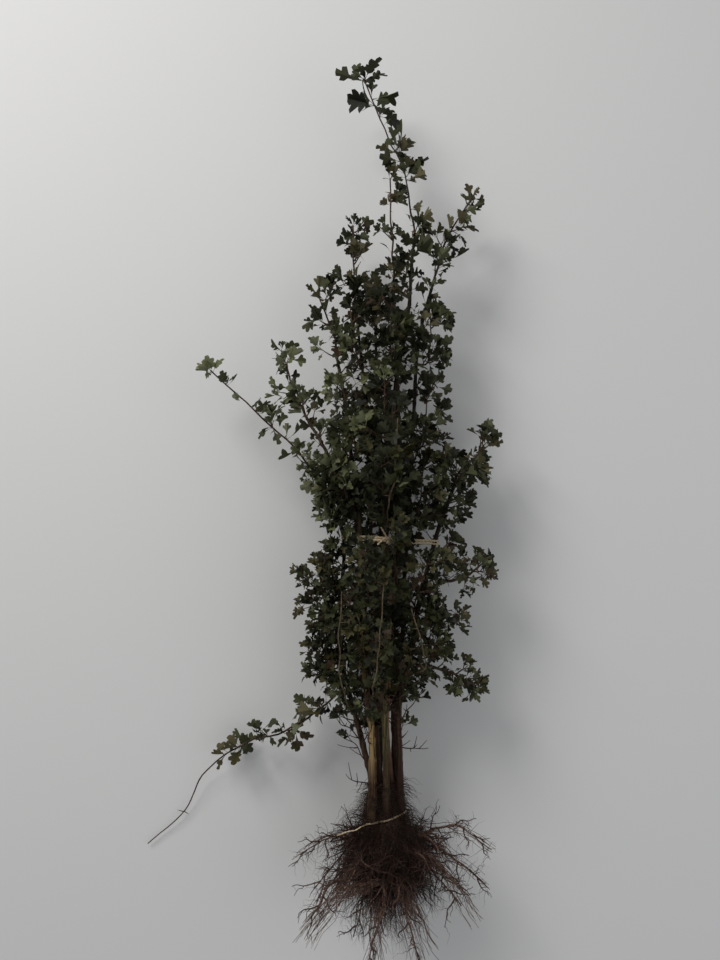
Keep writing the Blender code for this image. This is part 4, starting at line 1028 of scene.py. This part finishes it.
# A sheaf of rootlets arches over the front to the left; three more hang from the front and the right.
SHEAVES = [  # the points that the sheaf passes, how many rootlets, how far they spread
    ([(0.006, 0.052, 0.05), (-0.044, 0.05, 0.066), (-0.086, 0.026, 0.072), (-0.12, -0.022, 0.066)],
        26, 0.016),
    ([(-0.006, 0.04, 0.052), (-0.018, 0.006, 0.074), (-0.014, -0.044, 0.092)], 12, 0.01),
    ([(0.01, 0.042, 0.052), (0.036, 0.016, 0.076), (0.06, -0.028, 0.09)], 12, 0.012),
    ([(0.05, 0.084, 0.02), (0.088, 0.058, 0.04), (0.13, 0.0, 0.052)], 12, 0.012),
]
ROOT_DROOP = Vector((0, -0.16, -0.02))
ROOT_RINGS, FORK_RINGS, SIDE_RINGS, SMALL_RINGS = 48, 22, 14, 9    # how many rings each root is made of
ROOT_KINKS, ROOT_CROOK = (0.0065, 0.040), (0.0022, 0.012)
FORK_CROOK, SIDE_CROOK, SMALL_CROOK = (0.008, 0.030), (0.006, 0.022), (0.004, 0.012)
SHEAF_CROOK, ROOTLET_CROOK = (0.004, 0.030), (0.009, 0.050)
FORK_LEAN, ROOT_LEAN = (25, 45), (35, 68)        # in degrees
SMALL_TURN, SMALL_LEAN = (0, 6.28), 0.9          # in radians
ROOT_TIP_R, FORK_R, FORK_TIP_R = 0.0007, 0.0021, 0.0005
MASS_ROOT_R, MASS_ROOT_TIP_R = 0.0030, 0.0008
SIDE_R, SIDE_TIP_R, SMALL_R, SMALL_TIP_R = 0.0012, 0.0004, 0.0006, 0.0003
ROOT_CLEAR, ROOTLET_CLEAR = 0.002, 0.001         # between their middles and the floor


def root_path(turn, height, rest, seed):
    """A root from inside the crown through its points, with the kinks of one that grew among stones."""
    a = math.radians(turn)
    radial = Vector((math.cos(a), 0, math.sin(a)))
    foot = radial * crown_radius(height) + UP * height
    near = foot + (radial - UP * 0.3).normalized() * 0.012
    inside = foot - radial * 0.016
    points = bent(curve_through([inside, foot, near, *rest], ROOT_RINGS), *ROOT_KINKS, seed)
    return [above_ground(p, ROOT_CLEAR) for p in bent(points, *ROOT_CROOK, seed)]


def forks(path, draw):
    """The three stout branches that a root forks into."""
    found = []
    for t in (0.40, 0.55, 0.70):
        foot, axis = on_path(path, t)
        out = branching(axis, draw.uniform(0, math.tau), FORK_LEAN, draw)
        reach = length_of(path) * (0.95 - t) * draw.uniform(0.7, 1.0)
        side = bent(grown(foot, out, reach, ROOT_DROOP * 0.6, FORK_RINGS), *FORK_CROOK, draw.uniform(0, 9))
        found.append(tapered(side, FORK_R * (1.2 - t), FORK_TIP_R))
    return found


def root_branches(path, spread, count, draw):
    """Side roots by the golden angle along a root, each with two finer ones."""
    found = []
    for k in range(count):
        t = 0.22 + 0.75 * (k + 0.4) / count
        foot, axis = on_path(path, t)
        out = branching(axis, GOLDEN * k + draw.uniform(*WOBBLE), ROOT_LEAN, draw)
        reach = side_length(spread, t, draw, 0.6)
        side = bent(grown(foot, out, reach, ROOT_DROOP, SIDE_RINGS), *SIDE_CROOK, draw.uniform(0, 9))
        found.append(tapered(side, SIDE_R, SIDE_TIP_R))
        for s in (0.3, 0.6):
            foot, axis = on_path(side, s)
            out = leaning(axis, turned(axis, draw.uniform(*SMALL_TURN)), SMALL_LEAN)
            small = bent(grown(foot, out, reach * 0.5, ROOT_DROOP, SMALL_RINGS), *SMALL_CROOK, s)
            found.append(tapered(small, SMALL_R, SMALL_TIP_R))
    return found


def rootlets_beside(path, count, spread, draw):
    """Thin rootlets that run beside a root and part from it towards its tip."""
    found, last = [], len(path) - 1
    for _ in range(count):
        way = Vector([draw.uniform(-1, 1) for _ in range(3)]) * spread
        aside = [above_ground(p + way * (0.2 + (i / last) ** 1.4), ROOTLET_CLEAR) for i, p in enumerate(path)]
        aside = bent(aside, *ROOTLET_CROOK, draw.uniform(0, 99))[::2]
        found.append(tapered([above_ground(p, ROOTLET_CLEAR) for p in aside], SMALL_R, SMALL_TIP_R))
    return found


main_roots, fine_roots, rootlets = [], [], []
for seed, (name, (turn, height, rest, r_foot)) in enumerate(ROOTS.items()):
    path, draw = root_path(turn, height, rest, seed), random.Random(name)
    main_roots.append(tapered(path, r_foot * 1.15, ROOT_TIP_R))
    fine_roots += root_branches(path, 0.060, 14, draw)
    main_roots += forks(path, draw)
    rootlets += rootlets_beside(path, 6, 0.010, draw)
for number, (points, count, spread) in enumerate(SHEAVES):
    path = bent(curve_through(points, ROOT_RINGS), *SHEAF_CROOK, number)
    rootlets += rootlets_beside(path, count, spread, random.Random(number))
for seed, (name, (turn, height, rest, spread)) in enumerate(FINE_ROOTS.items(), start=20):
    path, draw = root_path(turn, height, rest, seed), random.Random(name)
    fine_roots.append(tapered(path, MASS_ROOT_R, MASS_ROOT_TIP_R))
    fine_roots += root_branches(path, spread, 20, draw) + forks(path, draw)

root_bark = bark("root_bark", (0.042, 0.023, 0.017), (0.172, 0.101, 0.073), (1, 0.7, 1))
fine_root_bark = bark("fine_root_bark", (0.021, 0.011, 0.008), (0.084, 0.047, 0.036), (1, 0.7, 1))
roots_piece = wooden("main_roots", main_roots, root_bark, sides=14, relief=0.8, furrows=200.0, lengthwise=0.6)
fitted(roots_piece, "root", *ROOTS)
fitted(wooden("rootlets", rootlets, root_bark, sides=4, relief=0.3), "root", *ROOTS)
fine_roots_piece = wooden("fine_roots", fine_roots, fine_root_bark, sides=5, relief=0.4)
fitted(fine_roots_piece, "fine_root", *FINE_ROOTS)

# ---- Root hairs ------------------------------------------------------
# The mat of hair-thin feeding roots, dark red-brown, that stands out of the crown, of the stems' feet and of
# every root and hangs down and out from them.
fibres = Pattern("hairs_on_a_surface", Density="Float", Below="Float", Steps="Int", Length="Float",
                 Wander="Float", Curl="Float", Droop="Float", Thickness="Float", Seed="Int",
                 Material="Material")
given = fibres.given
height = fibres.add("ShaderNodeSeparateXYZ", {"Vector": fibres.place()}, "Y")
low_enough = fibres.add("FunctionNodeCompare", {0: height, 1: given("Below")}, operation="LESS_THAN")
skin_points = fibres.add("GeometryNodeDistributePointsOnFaces", {
    "Mesh": given("Geometry"), "Selection": low_enough, "Density": given("Density"), "Seed": given("Seed")})
square_to_skin = Wire(fibres, skin_points.socket.node.outputs["Rotation"])
# A straight hair of length 1, whose foot is sunk in the skin.
strand = fibres.add("GeometryNodeCurvePrimitiveLine", {"Start": (0, 0, -0.04), "End": (0, 0, 1)})
strand = fibres.add("GeometryNodeResampleCurve", {"Curve": strand, "Count": given("Steps")})
shortness = fibres.add("FunctionNodeRandomValue", {2: 0.35, 3: 1.15, "Seed": given("Seed")}, 1,
                       data_type="FLOAT")
strands = fibres.add("GeometryNodeInstanceOnPoints", {
    "Points": skin_points, "Instance": strand, "Rotation": square_to_skin,
    "Scale": shortness * given("Length")})
strands = fibres.add("GeometryNodeRealizeInstances", {"Geometry": strands})
along = fibres.add("GeometryNodeSplineParameter")


def stray(scale, detail, reach):
    """How noise moves a hair aside, the further the nearer its tip."""
    swirl = fibres.add("ShaderNodeTexNoise", {"Vector": fibres.place(), "Scale": scale, "Detail": detail}, 1)
    return fibres.scaled(fibres.vector("SUBTRACT", swirl, (0.5, 0.5, 0.5)), along * given(reach))


hang = fibres.scaled((0, -1, -0.12), along * along * given("Droop"))
wander, curl = stray(42.0, 3.0, "Wander"), stray(190.0, 1.0, "Curl")
moved = fibres.vector("ADD", wander, fibres.vector("ADD", curl, hang))
strands = fibres.add("GeometryNodeSetPosition", {"Geometry": strands, "Offset": moved})
hair_ring = fibres.add("GeometryNodeCurvePrimitiveCircle", {"Resolution": 3, "Radius": 1.0})
fibres.close(fibres.add("GeometryNodeCurveToMesh", {
    "Curve": strands, "Profile Curve": hair_ring, "Fill Caps": True,
    "Scale": given("Thickness") * (1.15 - along)}))

FEET_TO = 0.19            # the stems' feet bear hairs up to here
feet = []
for limb in stems.values():
    count = sum(p.y < FEET_TO for p in limb.points)
    feet.append(Limb(limb.points[:count], limb.radii[:count]))
stem_feet = wooden("stem_feet", feet, root_bark, sides=8, relief=0.0, furrows=1.0)
# Each lot: the piece that it stands on, hairs per square metre, the height that they stop at, the points on
# each, their length, wander, curl, droop and thickness, and a seed.
HAIRS = {
    "crown_mat": (crown_piece, 80000.0, 0.128, 9, 0.052, 0.070, 0.024, 0.038, 0.00046, 1),
    "crown_hairs": (crown_piece, 100000.0, 0.146, 6, 0.020, 0.038, 0.016, 0.010, 0.00030, 2),
    "collar_hairs": (stem_feet, 84000.0, 0.182, 6, 0.024, 0.050, 0.026, 0.010, 0.00034, 5),
    "root_mat": (roots_piece, 30000.0, 9.0, 8, 0.030, 0.036, 0.014, 0.012, 0.00034, 3),
    "fine_root_mat": (fine_roots_piece, 18000.0, 9.0, 8, 0.028, 0.034, 0.016, 0.010, 0.00030, 4),
}
hair_dark = bark("root_hair_dark", (0.013, 0.007, 0.005), (0.046, 0.023, 0.016), (1, 1, 1))
hair_red = bark("root_hair_red", (0.034, 0.016, 0.013), (0.105, 0.054, 0.042), (1, 1, 1))
for name, (carrier, density, below, steps, length, wander, curl, droop, thickness, seed) in HAIRS.items():
    piece = made_by(fibres, name, carrier.data.copy(), Density=density, Below=ORIGIN.y + below, Steps=steps,
                    Length=length, Wander=wander, Curl=curl, Droop=droop, Thickness=thickness, Seed=seed,
                    Material=hair_red if name == "root_mat" else hair_dark)
    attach(piece, "root")
bpy.data.objects.remove(stem_feet)

# ---- Twine -----------------------------------------------------------
# Two-ply straw-coloured twine. It goes twice round all the stems at mid height and is knotted at the
# front with its four ends left long; lower down one turn slants round the neck of the root crown.
PLY_R, LOWER_PLY_R = 0.0010, 0.0007
FRAYED_PLY_R, LOOSE_PLY_R = 0.0008, 0.0005       # of the knot's ends, and of the lower tie's
PLY_STEP = 0.0011         # from one ring of a ply to the next
PLY_NEST = 0.92           # how far the plies stand off the twine's middle, as a share of their radius
TWIST = 0.0115            # length of one full turn of the two plies
TIE_SLACK = 0.0014
TIE_SLANT = -0.06         # the upper tie sinks this much to the right, for each metre across
TURNS_APART = 0.0046      # between the two turns of the upper tie
LOWER_TIE_HEIGHT, LOWER_TIE_SLANT = 0.129, 0.24
OUTLINE_DOTS = 16         # points round each stem that the twine may touch
KNOT_OFF = Vector((0.006, -0.002, 0.003))        # from the twine's foremost point to the knot
KNOT_X, KNOT_Y, KNOT_Z = 0.0042, 0.0040, 0.0034  # how far the knot's small turns reach each way
KNOT_RINGS, END_RINGS, LOOSE_RINGS = 28, 24, 30
TURN_CROOK, LOOSE_CROOK = (0.0022, 0.030), (0.0016, 0.014)
UPPER_STEP, LOWER_STEP = 0.004, 0.003            # between the points that the turns are laid through


def outline_round(points):
    """The convex outline round (x, z) points, anticlockwise."""
    points = sorted(set(points))

    def chain(ordered):
        out = []
        for p in ordered:
            while len(out) > 1 and ((out[-1][0] - out[-2][0]) * (p[1] - out[-2][1])
                                    - (out[-1][1] - out[-2][1]) * (p[0] - out[-2][0]) <= 0):
                out.pop()
            out.append(p)
        return out[:-1]

    return chain(points) + chain(reversed(points))


def evenly(points, step):
    """The same path with its points a step apart."""
    spaced, left = [points[0]], 0.0
    for p, q in zip(points, points[1:]):
        span = (q - p).length
        at = step - left
        while at < span:
            spaced.append(p.lerp(q, at / span))
            at += step
        left = span - (at - step)
    return spaced


def plies(path, ply_r=PLY_R):
    """The two plies of a length of twine, wound round each other along its path."""
    path = evenly(path, PLY_STEP)
    pair = ([], [])
    side = Vector((0.1, 0.9, 0.3))
    for i, p in enumerate(path):
        axis = heading(path, i)
        side = across(axis, side)
        spun = Matrix.Rotation(math.tau * i * PLY_STEP / TWIST, 3, axis) @ side
        pair[0].append(p + spun * ply_r * PLY_NEST)
        pair[1].append(p - spun * ply_r * PLY_NEST)
    return [Limb(points, [ply_r] * len(points)) for points in pair]


def round_the_stems(height, others=()):
    """The twine's way round the stems at a height, and round any other (point, radius) given."""
    there = [at_height(limb, height) for limb in stems.values() if limb.points[-1].y > height]
    dots = []
    for centre, r in [*((c, r) for c, _, r in there), *others]:
        for k in range(OUTLINE_DOTS):
            a = math.tau * k / OUTLINE_DOTS
            dots.append((centre.x + (r + TIE_SLACK) * math.cos(a), centre.z + (r + TIE_SLACK) * math.sin(a)))
    return [Vector((x, height, z)) for x, z in outline_round(dots)]


outline = round_the_stems(TIE_HEIGHT)
front = max(range(len(outline)), key=lambda i: outline[i].z)
outline = outline[front:] + outline[:front + 1]
knot = outline[0] + KNOT_OFF
upper_plies = []
for turn in (-0.5, 0.5):
    loop = evenly([p + UP * (turn * TURNS_APART + TIE_SLANT * p.x) for p in outline], UPPER_STEP)
    upper_plies += plies(bent(loop, *TURN_CROOK, 3 + turn))
# The knot is a ball of small turns, and its ends stand off to both sides.
ball = []
for k in range(KNOT_RINGS + 1):
    a = math.tau * k / KNOT_RINGS
    ball.append(knot + Vector((math.sin(2 * a) * KNOT_X, math.sin(3 * a) * KNOT_Y, math.cos(a) * KNOT_Z)))
upper_plies += plies(ball)
ENDS = [  # the points that each end passes, counted from the knot
    [(0, 0, 0), (-0.007, 0.009, 0.008), (-0.014, 0.021, 0.009)],
    [(0.002, 0, 0.003), (0.01, 0.001, 0.007), (0.02, -0.009, 0.005)],
    [(0.002, 0.001, 0.004), (-0.008, 0.003, 0.009), (-0.02, -0.007, 0.008)],
    [(0, 0, 0), (-0.012, 0.001, 0.006), (-0.034, 0.002, 0.004)],
]
for end in ENDS:
    upper_plies += plies(curve_through([knot + Vector(p) for p in end], END_RINGS), FRAYED_PLY_R)

# The lower tie, whose end hangs loose over the roots, down to the left.
LOOSE_END = [(-0.018, 0.125, 0.023), (-0.032, 0.124, 0.028), (-0.046, 0.12, 0.032), (-0.062, 0.114, 0.03),
             (-0.076, 0.107, 0.022)]
neck = round_the_stems(LOWER_TIE_HEIGHT, [(Vector(), crown_radius(LOWER_TIE_HEIGHT))])
neck = [p + UP * LOWER_TIE_SLANT * p.x for p in neck]
lower_plies = plies(evenly(neck + neck[:1], LOWER_STEP), LOWER_PLY_R)
lower_plies += plies(bent(curve_through(LOOSE_END, LOOSE_RINGS), *LOOSE_CROOK, 9), LOOSE_PLY_R)

straw = Finish("straw_twine", specular=0.3)
fibre = straw.contrast(straw.grain(1500, (0.4, 1, 0.4)), 0.35, 0.65)
straw.wire("Base Color", straw.mixed((0.400, 0.290, 0.160), (0.780, 0.650, 0.440), fibre))
straw.wire("Roughness", 0.85 - fibre * 0.2)
straw.bump(fibre, 0.0003)
for tie, lengths in (("upper_tie", upper_plies), ("lower_tie", lower_plies)):
    fitted(wooden(tie + "_twine", lengths, straw.material, sides=7, relief=0.3, furrows=900.0), "twine", tie)
